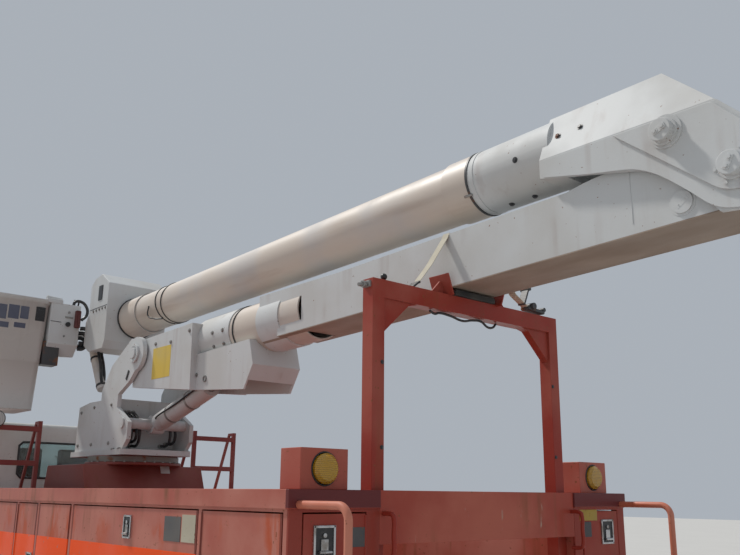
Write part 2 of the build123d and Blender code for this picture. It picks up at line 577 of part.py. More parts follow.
# Grab rails: a bent pipe behind each pack, from its cap down to its rear wall
with BuildPart() as grab_rails:
    for _, hand in SIDES:
        rail_y = hand * GRAB_Y
        with BuildLine():
            FilletPolyline((at(-CAP_PROUD), rail_y, GRAB_HEIGHT), (at(-GRAB_REACH), rail_y, GRAB_HEIGHT),
                           (at(-GRAB_REACH), rail_y, GRAB_HEIGHT - GRAB_DROP),
                           (at(0), rail_y, GRAB_HEIGHT - GRAB_DROP), radius=GRAB_BEND)
        pipe_end = (at(-CAP_PROUD), rail_y, GRAB_HEIGHT)
        with BuildSketch(Plane(origin=pipe_end, x_dir=(0, 1, 0), z_dir=(-1, 0, 0))):
            Circle(RAIL_PIPE_RADIUS)
        sweep()
save(grab_rails, "grab_rails")

with BuildPart() as rear_lenses:
    with Locations([Plane(origin=(at(LAMP_STATION + LAMP_SEAT), hand * LAMP_BOX_Y, lamp_height),
                          x_dir=(0, 1, 0), z_dir=(-1, 0, 0)) for _, hand in SIDES]):
        Cylinder(LAMP_RADIUS, LENS_LENGTH, align=(Align.CENTER, Align.CENTER, Align.MIN))
    chamfer(rear_lenses.edges().group_by(Axis.X)[0], LENS_EDGE)
save(rear_lenses, "rear_lenses")

# Compartment doors: flanged steel panels flush with the pack's outer face
for side, hand in SIDES:
    for name, rear, front, low, high, hinge in SIDE_DOORS:
        with BuildPart() as pack_door:
            mid_x = at((rear + front) / 2)
            mid_z = (low + high) / 2
            with Locations((mid_x, hand * (BODY_HALF_WIDTH - DOOR_THICKNESS / 2), mid_z)):
                Box(front - rear - 2 * DOOR_GAP, DOOR_THICKNESS, high - low - 2 * DOOR_GAP)
            # Recess inside the door's flange
            recess_y = BODY_HALF_WIDTH - DOOR_THICKNESS + DOOR_RECESS - DOOR_RECESS_CUT / 2
            with Locations((mid_x, hand * recess_y, mid_z)):
                Box(front - rear - 2 * DOOR_FLANGE, DOOR_RECESS_CUT, high - low - 2 * DOOR_FLANGE,
                    mode=Mode.SUBTRACT)
            # Hinge barrel along the edge that the door turns on
            edge_y = hand * BODY_HALF_WIDTH
            if hinge == "bottom":
                with Locations(Plane(origin=(mid_x, edge_y, low + DOOR_GAP), z_dir=(1, 0, 0))):
                    Cylinder(HINGE_RADIUS, front - rear - 4 * DOOR_GAP)
            else:
                edge = rear + DOOR_GAP if hinge == "rear" else front - DOOR_GAP
                with Locations((at(edge), edge_y, mid_z)):
                    Cylinder(HINGE_RADIUS, high - low - 4 * DOOR_GAP)
        save(pack_door, f"{name}_door_{side}")
    with BuildPart() as tail_door:
        door_mid = hand * (REAR_DOOR_INNER + REAR_DOOR_OUTER) / 2
        door_width = REAR_DOOR_OUTER - REAR_DOOR_INNER - 2 * DOOR_GAP
        with Locations((at(DOOR_THICKNESS / 2), door_mid, (DOOR_LOW + DOOR_HIGH) / 2)):
            Box(DOOR_THICKNESS, door_width, DOOR_HIGH - DOOR_LOW - 2 * DOOR_GAP)
        with Locations((at(0), hand * (REAR_DOOR_INNER + DOOR_GAP), (DOOR_LOW + DOOR_HIGH) / 2)):
            Cylinder(HINGE_RADIUS, DOOR_HIGH - DOOR_LOW - 4 * DOOR_GAP)
    save(tail_door, f"tail_door_{side}")

# Deck: floor between the packs with its tread plate, tail panel and front bulkhead
TAIL_PANEL_LOW = 1432.0
TAIL_PANEL_THICKNESS = 40.0
BULKHEAD_HEIGHT = 620.0
BULKHEAD_THICKNESS = 30.0
TREAD_PLATE_REAR = 300.0
TREAD_PLATE_FRONT = SLEW_STATION - 850.0
TREAD_PLATE_HALF = 640.0
TREAD_PLATE_THICKNESS = 3.0
with BuildPart() as deck:
    with Locations((at(BODY_LENGTH / 2), 0, DECK_BOTTOM + DECK_THICKNESS / 2)):
        Box(BODY_LENGTH, 2 * PACK_INNER, DECK_THICKNESS)
    # Tread plate laid on the floor between the boom rest and the pedestal
    with Locations((at((TREAD_PLATE_REAR + TREAD_PLATE_FRONT) / 2), 0,
                    DECK_BOTTOM + DECK_THICKNESS + TREAD_PLATE_THICKNESS / 2)):
        Box(TREAD_PLATE_FRONT - TREAD_PLATE_REAR, 2 * TREAD_PLATE_HALF, TREAD_PLATE_THICKNESS)
    with Locations((at(TAIL_PANEL_THICKNESS / 2), 0, (TAIL_PANEL_LOW + PACK_TOP) / 2)):
        Box(TAIL_PANEL_THICKNESS, 2 * PACK_INNER, PACK_TOP - TAIL_PANEL_LOW)
    with Locations((at(BODY_LENGTH - BULKHEAD_THICKNESS / 2), 0, DECK_BOTTOM + BULKHEAD_HEIGHT / 2)):
        Box(BULKHEAD_THICKNESS, 2 * PACK_INNER, BULKHEAD_HEIGHT)
save(deck, "deck")

# Boom rest: two square posts, a crossbeam, gussets and the splayed cradle flaps
FLAP_ANGLE = 20.0
FLAP_LENGTH = 140.0
FLAP_HEIGHT = 118.0
FLAP_THICKNESS = 10.0
CRADLE_HALF = 190.0
FLAP_SINK = 6.0
FLAP_BRACE = 12.0
BRACE_SINK = 4.0
BRACE_REACH = 110.0
BRACE_LEAN = 30.0
BRACE_RISE = 78.0
REST_GAP = 5.0
PAD_LENGTH = 106.0
PAD_MARGIN = 30.0
PAD_CHAMFER = 12.0
post_mid = POST_REAR + POST_SIZE / 2
# Height of the stowed boom's underside over the front edge of the pad
boom_rise = (ELBOW_PIN_HEIGHT - BOOM_PIN_HEIGHT) / (BOOM_PIN_STATION - ELBOW_PIN_STATION)
pad_front = post_mid + PAD_LENGTH / 2
boom_over_pad = BOOM_PIN_HEIGHT + boom_rise * (BOOM_PIN_STATION - pad_front) - ELBOW_DEPTH / 2
pad_thickness = boom_over_pad - REST_GAP - REST_TOP
with BuildPart() as boom_rest:
    post_low = DECK_BOTTOM + DECK_THICKNESS
    with Locations([(at(post_mid), hand * (PACK_INNER - POST_SIZE / 2), (post_low + REST_TOP) / 2)
                    for _, hand in SIDES]):
        Box(POST_SIZE, POST_SIZE, REST_TOP - post_low)
    with Locations((at(post_mid), 0, REST_TOP - BEAM_HEIGHT / 2)):
        Box(POST_SIZE, 2 * PACK_INNER, BEAM_HEIGHT)
    beam_low = REST_TOP - BEAM_HEIGHT
    inner = PACK_INNER - POST_SIZE
    for _, hand in SIDES:
        with BuildSketch(Plane.YZ.offset(at(POST_REAR + GUSSET_INSET))):
            with BuildLine():
                Polyline((hand * inner, beam_low), (hand * (inner - GUSSET_LEG), beam_low),
                         (hand * (inner - GUSSET_LEG + GUSSET_TIP), beam_low - GUSSET_TIP_DROP),
                         (hand * inner, beam_low - GUSSET_LEG + GUSSET_TIP), close=True)
            make_face()
        extrude(amount=POST_SIZE - 2 * GUSSET_INSET)
        # Flap leaning outward beside the boom
        flap_foot = (at(post_mid), hand * CRADLE_HALF, REST_TOP - FLAP_SINK)
        lean = (0, hand * sin(radians(FLAP_ANGLE)), cos(radians(FLAP_ANGLE)))
        with BuildSketch(Plane(origin=flap_foot, x_dir=(1, 0, 0), z_dir=lean)):
            Rectangle(FLAP_LENGTH, FLAP_THICKNESS)
        extrude(amount=FLAP_HEIGHT)
        # Brace behind the flap
        brace_low = REST_TOP - BRACE_SINK
        with BuildSketch(Plane.YZ.offset(at(post_mid) - FLAP_BRACE / 2)):
            with BuildLine():
                Polyline((hand * (CRADLE_HALF + BRACE_SINK), brace_low),
                         (hand * (CRADLE_HALF + BRACE_REACH), brace_low),
                         (hand * (CRADLE_HALF + BRACE_LEAN), REST_TOP + BRACE_RISE), close=True)
            make_face()
        extrude(amount=FLAP_BRACE)
save(boom_rest, "boom_rest")

with BuildPart() as cradle_pad:
    with Locations((at(post_mid), 0, REST_TOP + pad_thickness / 2)):
        Box(PAD_LENGTH, 2 * (CRADLE_HALF - PAD_MARGIN), pad_thickness)
    chamfer(cradle_pad.edges().filter_by(Axis.X).group_by(Axis.Z)[-1], PAD_CHAMFER)
save(cradle_pad, "cradle_pad")

# Access ladders: square-tube rails with cross rungs and slanted front braces
LADDER_STATION = SLEW_STATION + 279.0
LADDER_INNER = PACK_INNER + 12.0
LADDER_OUTER = BODY_HALF_WIDTH - 51.0
LADDER_TUBE = 34.0
LADDER_TOP = 2218.0
RUNG_TUBE = 42.0
RUNG_HEIGHTS = (1870.0, 2150.0)
BRACE_SPREAD = 300.0
BRACE_HEAD = 60.0
BRACE_TUBE = 26.0
BRACE_WIDTH = 2 * LADDER_TUBE / 3
LADDER_CAP_LENGTH = 90.0
LADDER_CAP_SHIFT = 36.0
with BuildPart() as access_ladders:
    for _, hand in SIDES:
        for y in (LADDER_INNER, LADDER_OUTER):
            with Locations((at(LADDER_STATION), hand * y, (PACK_TOP + LADDER_TOP) / 2)):
                Box(LADDER_TUBE, LADDER_TUBE, LADDER_TOP - PACK_TOP)
            with BuildSketch(side_plane(hand * y - BRACE_WIDTH / 2)):
                with BuildLine():
                    foot = at(LADDER_STATION + BRACE_SPREAD)
                    head = at(LADDER_STATION + BRACE_HEAD)
                    Polyline((foot, PACK_TOP), (foot + BRACE_TUBE, PACK_TOP),
                             (head + BRACE_TUBE, LADDER_TOP), (head, LADDER_TOP), close=True)
                make_face()
            extrude(amount=-BRACE_WIDTH)
            # Cap bar from the rail's head to the brace's
            with Locations((at(LADDER_STATION + LADDER_CAP_SHIFT), hand * y, LADDER_TOP - BRACE_TUBE / 2)):
                Box(LADDER_CAP_LENGTH, BRACE_WIDTH, BRACE_TUBE)
        with Locations([(at(LADDER_STATION), hand * (LADDER_INNER + LADDER_OUTER) / 2, rung_height)
                        for rung_height in RUNG_HEIGHTS]):
            Box(RUNG_TUBE, LADDER_OUTER - LADDER_INNER, RUNG_TUBE)
save(access_ladders, "access_ladders")

# Pedestal: a plate tower that narrows upward and carries the slewing ring
TOWER_WIDTH = 1080.0
TOWER_FOOT_LENGTH = 1300.0
TOWER_FOOT_STATION = SLEW_STATION + 90.0
TOWER_HEAD_LENGTH = 760.0
TOWER_HEAD_STATION = SLEW_STATION + 160.0
LAND_THICKNESS = 24.0
LAND_MARGIN = 26.0
with BuildPart() as pedestal:
    tower_low = DECK_BOTTOM + DECK_THICKNESS
    tower_high = PEDESTAL_TOP - LAND_THICKNESS
    with BuildSketch(Plane.XY.offset(tower_low)):
        with Locations((at(TOWER_FOOT_STATION), 0)):
            Rectangle(TOWER_FOOT_LENGTH, TOWER_WIDTH)
    with BuildSketch(Plane.XY.offset(tower_high)):
        with Locations((at(TOWER_HEAD_STATION), 0)):
            Rectangle(TOWER_HEAD_LENGTH, TOWER_WIDTH)
    loft()
    with BuildSketch(Plane.XY.offset(tower_high)):
        with Locations((at(SLEW_STATION), 0)):
            Circle(RING_RADIUS + LAND_MARGIN)
    extrude(amount=LAND_THICKNESS)
    with BuildSketch(Plane.XY.offset(PEDESTAL_TOP)):
        with Locations((at(SLEW_STATION), 0)):
            Circle(RING_RADIUS)
    extrude(amount=RING_TOP - PEDESTAL_TOP)
save(pedestal, "pedestal")

# Turntable: base plate, housing and the two cheeks that hold the boom pin
HOUSING_REAR = SLEW_STATION - 180.0
HOUSING_FRONT = SLEW_STATION + 570.0
HOUSING_TOP = 2410.0
HOUSING_NOSE = (20.0, 30.0)
HOUSING_SLOPE = 250.0
PLATE_REAR = SLEW_STATION - 440.0
PLATE_FRONT = SLEW_STATION + 640.0
PLATE_MARGIN = 20.0
PLATE_CORNER = 40.0
PIN_PROUD = 15.0
STUB_PIN_INNER = 190.0
STUB_PIN_OUTER = CHEEK_OUTER + PIN_PROUD
CHEEK_HEAD_RADIUS = 140.0
# Cheek's feet and its edge above them, forward and up from the boom pin
CHEEK_FEET = (120.0, 600.0)
CHEEK_EDGE = ((600.0, -252.0), (430.0, -52.0), (90.0, 136.0), (-90.0, 108.0), (-120.0, -52.0),
              (80.0, -222.0), (270.0, -312.0), (270.0, -422.0), (40.0, -552.0), (40.0, -692.0))
PIN_CAP_RADIUS = 74.0
PIN_CAP_THICKNESS = 16.0
plate_low = RING_TOP + TURNTABLE_GAP
plate_high = plate_low + TURNTABLE_PLATE
with BuildPart() as turntable:
    with Locations((at((PLATE_REAR + PLATE_FRONT) / 2), 0, (plate_low + plate_high) / 2)):
        Box(PLATE_FRONT - PLATE_REAR, 2 * (CHEEK_OUTER + PLATE_MARGIN), TURNTABLE_PLATE)
    fillet(turntable.edges().filter_by(Axis.Z), PLATE_CORNER)
    with BuildSketch(side_plane(CHEEK_OUTER)):
        with BuildLine():
            Polyline((at(HOUSING_REAR), plate_high), (at(HOUSING_FRONT), plate_high),
                     (at(HOUSING_FRONT - HOUSING_NOSE[0]), HOUSING_TOP - HOUSING_NOSE[1]),
                     (at(HOUSING_FRONT - HOUSING_SLOPE), HOUSING_TOP), (at(HOUSING_REAR), HOUSING_TOP),
                     close=True)
        make_face()
    extrude(amount=2 * CHEEK_OUTER)
    cheek_feet = [(at(BOOM_PIN_STATION + foot), plate_high) for foot in CHEEK_FEET]
    cheek_edge = [(at(BOOM_PIN_STATION + run), BOOM_PIN_HEIGHT + rise) for run, rise in CHEEK_EDGE]
    for _, hand in SIDES:
        with BuildSketch(side_plane(hand * CHEEK_OUTER)):
            with BuildLine():
                Polyline(*cheek_feet, *cheek_edge, close=True)
            make_face()
            with Locations((at(BOOM_PIN_STATION), BOOM_PIN_HEIGHT)):
                Circle(CHEEK_HEAD_RADIUS)
        extrude(amount=hand * (CHEEK_OUTER - CHEEK_INNER))
    with Locations(lateral_plane(CYLINDER_BASE_STATION, 0, CYLINDER_BASE_HEIGHT)):
        Cylinder(BOOM_PIN_RADIUS, 2 * STUB_PIN_OUTER)
    # Boom pin in two stubs, so the lift cylinder can swing up between them
    for _, hand in SIDES:
        stub_y = hand * (STUB_PIN_INNER + STUB_PIN_OUTER) / 2
        with Locations(lateral_plane(BOOM_PIN_STATION, stub_y, BOOM_PIN_HEIGHT)):
            Cylinder(BOOM_PIN_RADIUS, STUB_PIN_OUTER - STUB_PIN_INNER)
        cap_y = hand * (CHEEK_OUTER + PIN_CAP_THICKNESS / 2)
        with Locations(lateral_plane(BOOM_PIN_STATION, cap_y, BOOM_PIN_HEIGHT)):
            Cylinder(PIN_CAP_RADIUS, PIN_CAP_THICKNESS)
save(turntable, "turntable")

# Lower boom frame of reference: along the boom from its pin to the elbow pin
lower_length = hypot(BOOM_PIN_STATION - ELBOW_PIN_STATION, ELBOW_PIN_HEIGHT - BOOM_PIN_HEIGHT)
lower_tilt = atan2(ELBOW_PIN_HEIGHT - BOOM_PIN_HEIGHT, BOOM_PIN_STATION - ELBOW_PIN_STATION)


def lower_plane(y):
    """Sketch plane along the lower boom, origin at its pin, up at right angles."""
    return Plane(origin=(at(BOOM_PIN_STATION), y, BOOM_PIN_HEIGHT),
                 x_dir=(-cos(lower_tilt), 0, sin(lower_tilt)), z_dir=(0, 1, 0))


def lower_section(along):
    """Cross-section plane of the lower boom at a distance from its pin."""
    return Plane(origin=(at(BOOM_PIN_STATION) - along * cos(lower_tilt), 0,
                         BOOM_PIN_HEIGHT + along * sin(lower_tilt)),
                 x_dir=(0, 1, 0), z_dir=(-cos(lower_tilt), 0, sin(lower_tilt)))


# Lower boom base: an open-bottomed steel box from the pin to the tube socket
BASE_END = 840.0
SOCKET_END = 1265.0
SOCKET_OVERLAP = 60.0
TUBE_START = 860.0
ELBOW_START = 1880.0
TUBE_BORE = 1000.0
EYE_GAP = 8.0
BOSS_WALL = 16.0
# Outlines of the base, its neck and the hollow in both, back and up from the boom pin
BASE_EDGE = ((-150.0, -60.0), (-120.0, -262.0), (BASE_END, -392.0), (BASE_END, 118.0), (-60.0, 118.0),
             (-140.0, 60.0))
NECK_EDGE = ((BASE_END - 20.0, -388.0), (1500.0, -462.0), (1610.0, -300.0), (1560.0, -120.0),
             (BASE_END - 20.0, -120.0))
HOLLOW_EDGE = ((-400.0, 90.0), (480.0, 90.0), (BASE_END - 60.0, -150.0), (BASE_END - 60.0, -210.0),
               (1240.0, -210.0), (1530.0, -380.0), (1700.0, -700.0), (-400.0, -700.0))
with BuildPart() as lower_boom_base:
    with BuildSketch(lower_plane(-BASE_HALF_WIDTH)):
        with BuildLine():
            Polyline(*BASE_EDGE, close=True)
        make_face()
    extrude(amount=2 * BASE_HALF_WIDTH)
    neck_half = BASE_HALF_WIDTH - BASE_STEP
    with BuildSketch(lower_plane(-neck_half)):
        with BuildLine():
            Polyline(*NECK_EDGE, close=True)
        make_face()
    extrude(amount=2 * neck_half)
    # Hollow from below, with its roof plate over the cylinder
    with BuildSketch(lower_plane(-neck_half + BASE_WALL)):
        with BuildLine():
            Polyline(*HOLLOW_EDGE, close=True)
        make_face()
    extrude(amount=2 * (neck_half - BASE_WALL), mode=Mode.SUBTRACT)
    with BuildSketch(lower_section(BASE_END - SOCKET_OVERLAP)):
        Circle(LOWER_TUBE_RADIUS + SOCKET_WALL)
    extrude(amount=SOCKET_END - BASE_END + SOCKET_OVERLAP)
    with BuildSketch(lower_section(TUBE_START)):
        Circle(LOWER_TUBE_RADIUS + FIT)
    extrude(amount=TUBE_BORE, mode=Mode.SUBTRACT)
    with Locations(lateral_plane(BOOM_PIN_STATION, 0, BOOM_PIN_HEIGHT)):
        Cylinder(PIN_BORE, 2 * (BASE_HALF_WIDTH + CUT_MARGIN), mode=Mode.SUBTRACT)
    # Pin bosses on the inner walls, either side of the cylinder's eye
    boss_inner = ROD_EYE_WIDTH / 2 + EYE_GAP
    boss_outer = neck_half
    for _, hand in SIDES:
        with Locations(lateral_plane(ROD_EYE_STATION, hand * (boss_inner + boss_outer) / 2, ROD_EYE_HEIGHT)):
            Cylinder(ROD_PIN_RADIUS + BOSS_WALL, boss_outer - boss_inner)
save(lower_boom_base, "lower_boom_base")

# Lower boom tube: the fibreglass insert between the base and the elbow half
TUBE_INTO_ELBOW = 220.0
with BuildPart() as lower_boom_tube:
    with BuildSketch(lower_section(TUBE_START)):
        Circle(LOWER_TUBE_RADIUS)
        Circle(LOWER_TUBE_RADIUS - TUBE_WALL, mode=Mode.SUBTRACT)
    extrude(amount=ELBOW_START + TUBE_INTO_ELBOW - TUBE_START)
save(lower_boom_tube, "lower_boom_tube")

# Lower boom elbow half: a long steel box that ends in the elbow pin's eye
NOSE_RADIUS = 150.0
NOSE_START = 60.0
NOSE_DROP = 12.0
NOSE_TRIM = 4.0
MOUTH_LIP = (30.0, -40.0)
MOUTH_BACK = 250.0
MOUTH_CORNER = 90.0
MOUTH_RISE = 22.0
MOUTH_END = 600.0
CROWN_START = 820.0
CROWN_MIDDLE = 480.0
CROWN_END = 190.0
CROWN_RISE = 26.0
CROWN_DROP = 22.0
COLLAR_LENGTH = 260.0
COLLAR_BORE_START = 280.0
COLLAR_BORE_LENGTH = 520.0
ELBOW_HOLLOW_START = 200.0
ELBOW_SOLID_END = 700.0
with BuildPart() as lower_boom_elbow:
    with BuildSketch(lower_plane(-ELBOW_HALF_WIDTH)):
        with BuildLine():
            half = ELBOW_DEPTH / 2
            mouth_lip = ELBOW_START - MOUTH_LIP[0]
            mouth_back = ELBOW_START - MOUTH_BACK
            crown_start = (lower_length - CROWN_START, half)
            crown_middle = (lower_length - CROWN_MIDDLE, half + CROWN_RISE)
            crown_end = (lower_length - CROWN_END, half - CROWN_DROP)
            nose_start = (lower_length - NOSE_START, NOSE_RADIUS - NOSE_DROP)
            nose_tip = (lower_length + NOSE_RADIUS - NOSE_TRIM, 0)
            nose_end = (lower_length, -half)
            Polyline(nose_end, (mouth_lip, -half), (mouth_lip, MOUTH_LIP[1]), (mouth_back, MOUTH_CORNER),
                     (mouth_back, half + MOUTH_RISE), (ELBOW_START + MOUTH_END, half), crown_start)
            ThreePointArc(crown_start, crown_middle, crown_end)
            Line(crown_end, nose_start)
            ThreePointArc(nose_start, nose_tip, nose_end)
        make_face()
    extrude(amount=2 * ELBOW_HALF_WIDTH)
    with BuildSketch(lower_section(ELBOW_START - COLLAR_LENGTH)):
        Circle(LOWER_TUBE_RADIUS + SOCKET_WALL)
    extrude(amount=COLLAR_LENGTH)
    with BuildSketch(lower_section(ELBOW_START - COLLAR_BORE_START)):
        Circle(LOWER_TUBE_RADIUS + FIT)
    extrude(amount=COLLAR_BORE_LENGTH, mode=Mode.SUBTRACT)
    hollow_start = ELBOW_START + ELBOW_HOLLOW_START
    with BuildSketch(lower_section(hollow_start)):
        Rectangle(2 * (ELBOW_HALF_WIDTH - ELBOW_WALL), ELBOW_DEPTH - 2 * ELBOW_WALL)
    extrude(amount=lower_length - ELBOW_SOLID_END - hollow_start, mode=Mode.SUBTRACT)
    with Locations(lateral_plane(ELBOW_PIN_STATION, 0, ELBOW_PIN_HEIGHT)):
        Cylinder(PIN_BORE, 2 * (ELBOW_HALF_WIDTH + CUT_MARGIN), mode=Mode.SUBTRACT)
save(lower_boom_elbow, "lower_boom_elbow")

# Lift cylinder: barrel with its base eye, and the rod with its head eye
cyl_run = CYLINDER_BASE_STATION - ROD_EYE_STATION
cyl_rise = ROD_EYE_HEIGHT - CYLINDER_BASE_HEIGHT
cyl_length = hypot(cyl_run, cyl_rise)
cyl_dir = (-cyl_run / cyl_length, 0, cyl_rise / cyl_length)
BARREL_START = 70.0
BARREL_END = cyl_length - 190.0
BARREL_EYE_RADIUS = BOOM_PIN_RADIUS + 32.0
BARREL_EYE_WIDTH = 110.0
BARREL_BORE_START = BARREL_START + 80.0
ROD_START = BARREL_START + 120.0
ROD_END = cyl_length - 60.0
ROD_EYE_RADIUS = ROD_PIN_RADIUS + 28.0
ROD_PIN_PROUD = 6.0
GLAND_BORE = ROD_RADIUS + BEARING_CLEARANCE


def along_cylinder(distance):
    """Cross-section plane of the lift cylinder at a distance from its base pin."""
    return Plane(origin=(at(CYLINDER_BASE_STATION) + cyl_dir[0] * distance, 0,
                         CYLINDER_BASE_HEIGHT + cyl_dir[2] * distance), x_dir=(0, 1, 0), z_dir=cyl_dir)


with BuildPart() as lift_barrel:
    with BuildSketch(along_cylinder(BARREL_START)):
        Circle(BARREL_RADIUS)
    extrude(amount=BARREL_END - BARREL_START)
    with Locations(lateral_plane(CYLINDER_BASE_STATION, 0, CYLINDER_BASE_HEIGHT)):
        Cylinder(BARREL_EYE_RADIUS, BARREL_EYE_WIDTH)
        Cylinder(PIN_BORE, 2 * BARREL_RADIUS, mode=Mode.SUBTRACT)
    with BuildSketch(along_cylinder(BARREL_BORE_START)):
        Circle(GLAND_BORE)
    extrude(amount=BARREL_END, mode=Mode.SUBTRACT)
save(lift_barrel, "lift_barrel")

with BuildPart() as lift_rod:
    with BuildSketch(along_cylinder(ROD_START)):
        Circle(ROD_RADIUS)
    extrude(amount=ROD_END - ROD_START)
    with Locations(lateral_plane(ROD_EYE_STATION, 0, ROD_EYE_HEIGHT)):
        Cylinder(ROD_EYE_RADIUS, ROD_EYE_WIDTH)
        Cylinder(ROD_PIN_RADIUS, ROD_EYE_WIDTH + 2 * ROD_PIN_PROUD)
save(lift_rod, "lift_rod")

# Upper boom frame of reference: along the tube from the elbow to the tip
upper_run = UPPER_FRONT_STATION - UPPER_REAR_STATION
upper_rise = UPPER_AXIS_HEIGHT_FRONT - UPPER_AXIS_HEIGHT_REAR
upper_tilt = atan2(upper_rise, upper_run)


def upper_section(station):
    """Cross-section plane of the upper boom at a station, looking forward."""
    share = (station - UPPER_REAR_STATION) / upper_run
    height = UPPER_AXIS_HEIGHT_REAR + share * upper_rise
    along = (cos(upper_tilt), 0, sin(upper_tilt))
    return Plane(origin=(at(station), 0, height), x_dir=(0, 1, 0), z_dir=along)


# Upper boom elbow: a hollow gooseneck that straddles the lower boom's eye
ADAPTER_END = 110.0
ADAPTER_START = UPPER_REAR_STATION - 40.0
# Throat, belly, front edge, crown and heel, forward and up from the elbow pin
GOOSE_THROAT = ((80.0, 8.0 - UPPER_NOSE_RADIUS), (205.0, -30.0), (420.0, 108.0))
GOOSE_BELLY = ((680.0, 166.0), (945.0, 218.0))
GOOSE_CROWN = ((945.0, 562.0), (336.0, 578.0), (180.0, 430.0), (6.0 - UPPER_NOSE_RADIUS, 90.0))
GOOSE_TOP = 580.0
GOOSE_BOTTOM = -300.0
GOOSE_LENGTH = 1200.0
GOOSE_SLOT = ((-260.0, -260.0), (560.0, -260.0), (800.0, 130.0), (800.0, 230.0), (420.0, 330.0),
              (-260.0, 330.0))
ELBOW_BOSS = (96.0, 20.0)
LINK_BOSS = (76.0, 28.0)
LINK_STATION = ELBOW_PIN_STATION + 270.0
LINK_HEIGHT = ELBOW_PIN_HEIGHT + 230.0
EIGHTH = sin(radians(45))
with BuildPart() as upper_boom_elbow:
    nose = UPPER_NOSE_RADIUS
    px = at(ELBOW_PIN_STATION)
    pz = ELBOW_PIN_HEIGHT
    with BuildSketch(side_plane(GOOSE_HALF_WIDTH)):
        with BuildLine():
            throat = [(px + run, pz + rise) for run, rise in GOOSE_THROAT]
            back = [(px + run, pz + rise) for run, rise in GOOSE_BELLY + GOOSE_CROWN]
            ThreePointArc((px - nose, pz), (px - nose * EIGHTH, pz - nose * EIGHTH), (px, pz - nose))
            Line((px, pz - nose), throat[0])
            ThreePointArc(*throat)
            Polyline(throat[2], *back, (px - nose, pz))
        make_face()
    extrude(amount=2 * GOOSE_HALF_WIDTH)
    # Roof-shaped cross-section: upright sides, then slopes up to a flat ridge
    with BuildSketch(Plane.YZ.offset(px - nose - CUT_MARGIN)):
        with BuildLine():
            Polyline((-GOOSE_HALF_WIDTH, pz + GOOSE_BOTTOM), (GOOSE_HALF_WIDTH, pz + GOOSE_BOTTOM),
                     (GOOSE_HALF_WIDTH, GOOSE_SHOULDER), (GOOSE_RIDGE, pz + GOOSE_TOP),
                     (-GOOSE_RIDGE, pz + GOOSE_TOP), (-GOOSE_HALF_WIDTH, GOOSE_SHOULDER), close=True)
        make_face()
    extrude(amount=GOOSE_LENGTH, mode=Mode.INTERSECT)
    # Straddling slot for the lower boom's end, open below and behind
    with BuildSketch(side_plane(GOOSE_HALF_WIDTH - GOOSE_WALL)):
        with BuildLine():
            Polyline(*[(px + run, pz + rise) for run, rise in GOOSE_SLOT], close=True)
        make_face()
    extrude(amount=2 * (GOOSE_HALF_WIDTH - GOOSE_WALL), mode=Mode.SUBTRACT)
    with BuildSketch(upper_section(ADAPTER_START)):
        Circle(UPPER_TUBE_RADIUS + SOCKET_WALL)
    extrude(amount=ADAPTER_END - ADAPTER_START)
    with BuildSketch(upper_section(UPPER_TUBE_START - FIT)):
        Circle(UPPER_TUBE_RADIUS + FIT)
    extrude(amount=ADAPTER_END - UPPER_REAR_STATION, mode=Mode.SUBTRACT)
    with Locations(lateral_plane(ELBOW_PIN_STATION, 0, ELBOW_PIN_HEIGHT)):
        Cylinder(BOOM_PIN_RADIUS, 2 * GOOSE_HALF_WIDTH)
    for _, hand in SIDES:
        elbow_boss_y = hand * (GOOSE_HALF_WIDTH + ELBOW_BOSS[1] / 2)
        with Locations(lateral_plane(ELBOW_PIN_STATION, elbow_boss_y, ELBOW_PIN_HEIGHT)):
            Cylinder(*ELBOW_BOSS)
        link_boss_y = hand * (GOOSE_HALF_WIDTH + LINK_BOSS[1] / 2)
        with Locations(lateral_plane(LINK_STATION, link_boss_y, LINK_HEIGHT)):
            Cylinder(*LINK_BOSS)
save(upper_boom_elbow, "upper_boom_elbow")

# Upper boom tube: the fibreglass length from the adapter to the tip
with BuildPart() as upper_boom_tube:
    with BuildSketch(upper_section(UPPER_TUBE_START)):
        Circle(UPPER_TUBE_RADIUS)
        Circle(UPPER_TUBE_RADIUS - TUBE_WALL, mode=Mode.SUBTRACT)
    extrude(amount=UPPER_TUBE_END - UPPER_TUBE_START)
save(upper_boom_tube, "upper_boom_tube")

# Boom tip: the covered head on the tube's end, with the bucket shaft across it
TIP_REAR = 4202.0
TIP_FRONT = 4600.0
TIP_TOP = 3600.0
TIP_LOW = 2890.0
TIP_OUTLINE = ((TIP_REAR, TIP_TOP - 110.0), (TIP_REAR + 170.0, TIP_TOP),
               (TIP_FRONT - 90.0, TIP_TOP - 20.0), (TIP_FRONT, TIP_TOP - 80.0),
               (TIP_FRONT, TIP_TOP - 350.0), (TIP_FRONT + 60.0, TIP_TOP - 420.0),
               (TIP_FRONT + 60.0, TIP_LOW + 70.0), (TIP_FRONT - 60.0, TIP_LOW),
               (TIP_REAR + 40.0, TIP_LOW), (TIP_REAR, TIP_LOW + 70.0))
ARM_HALF_WIDTH = TIP_HALF_WIDTH - 140.0
ARM_FRONT = SHAFT_STATION + 70.0
ARM_BACK_HEIGHTS = (3220.0, 2980.0)
ARM_FRONT_HEIGHTS = (SHAFT_HEIGHT + 60.0, SHAFT_HEIGHT - 70.0)
TIP_COLLAR_LENGTH = 320.0
TIP_COLLAR_WALL = 10.0
TIP_BORE_START = 340.0
TIP_BORE_GAP = 4.0
SHAFT_LENGTH = 460.0
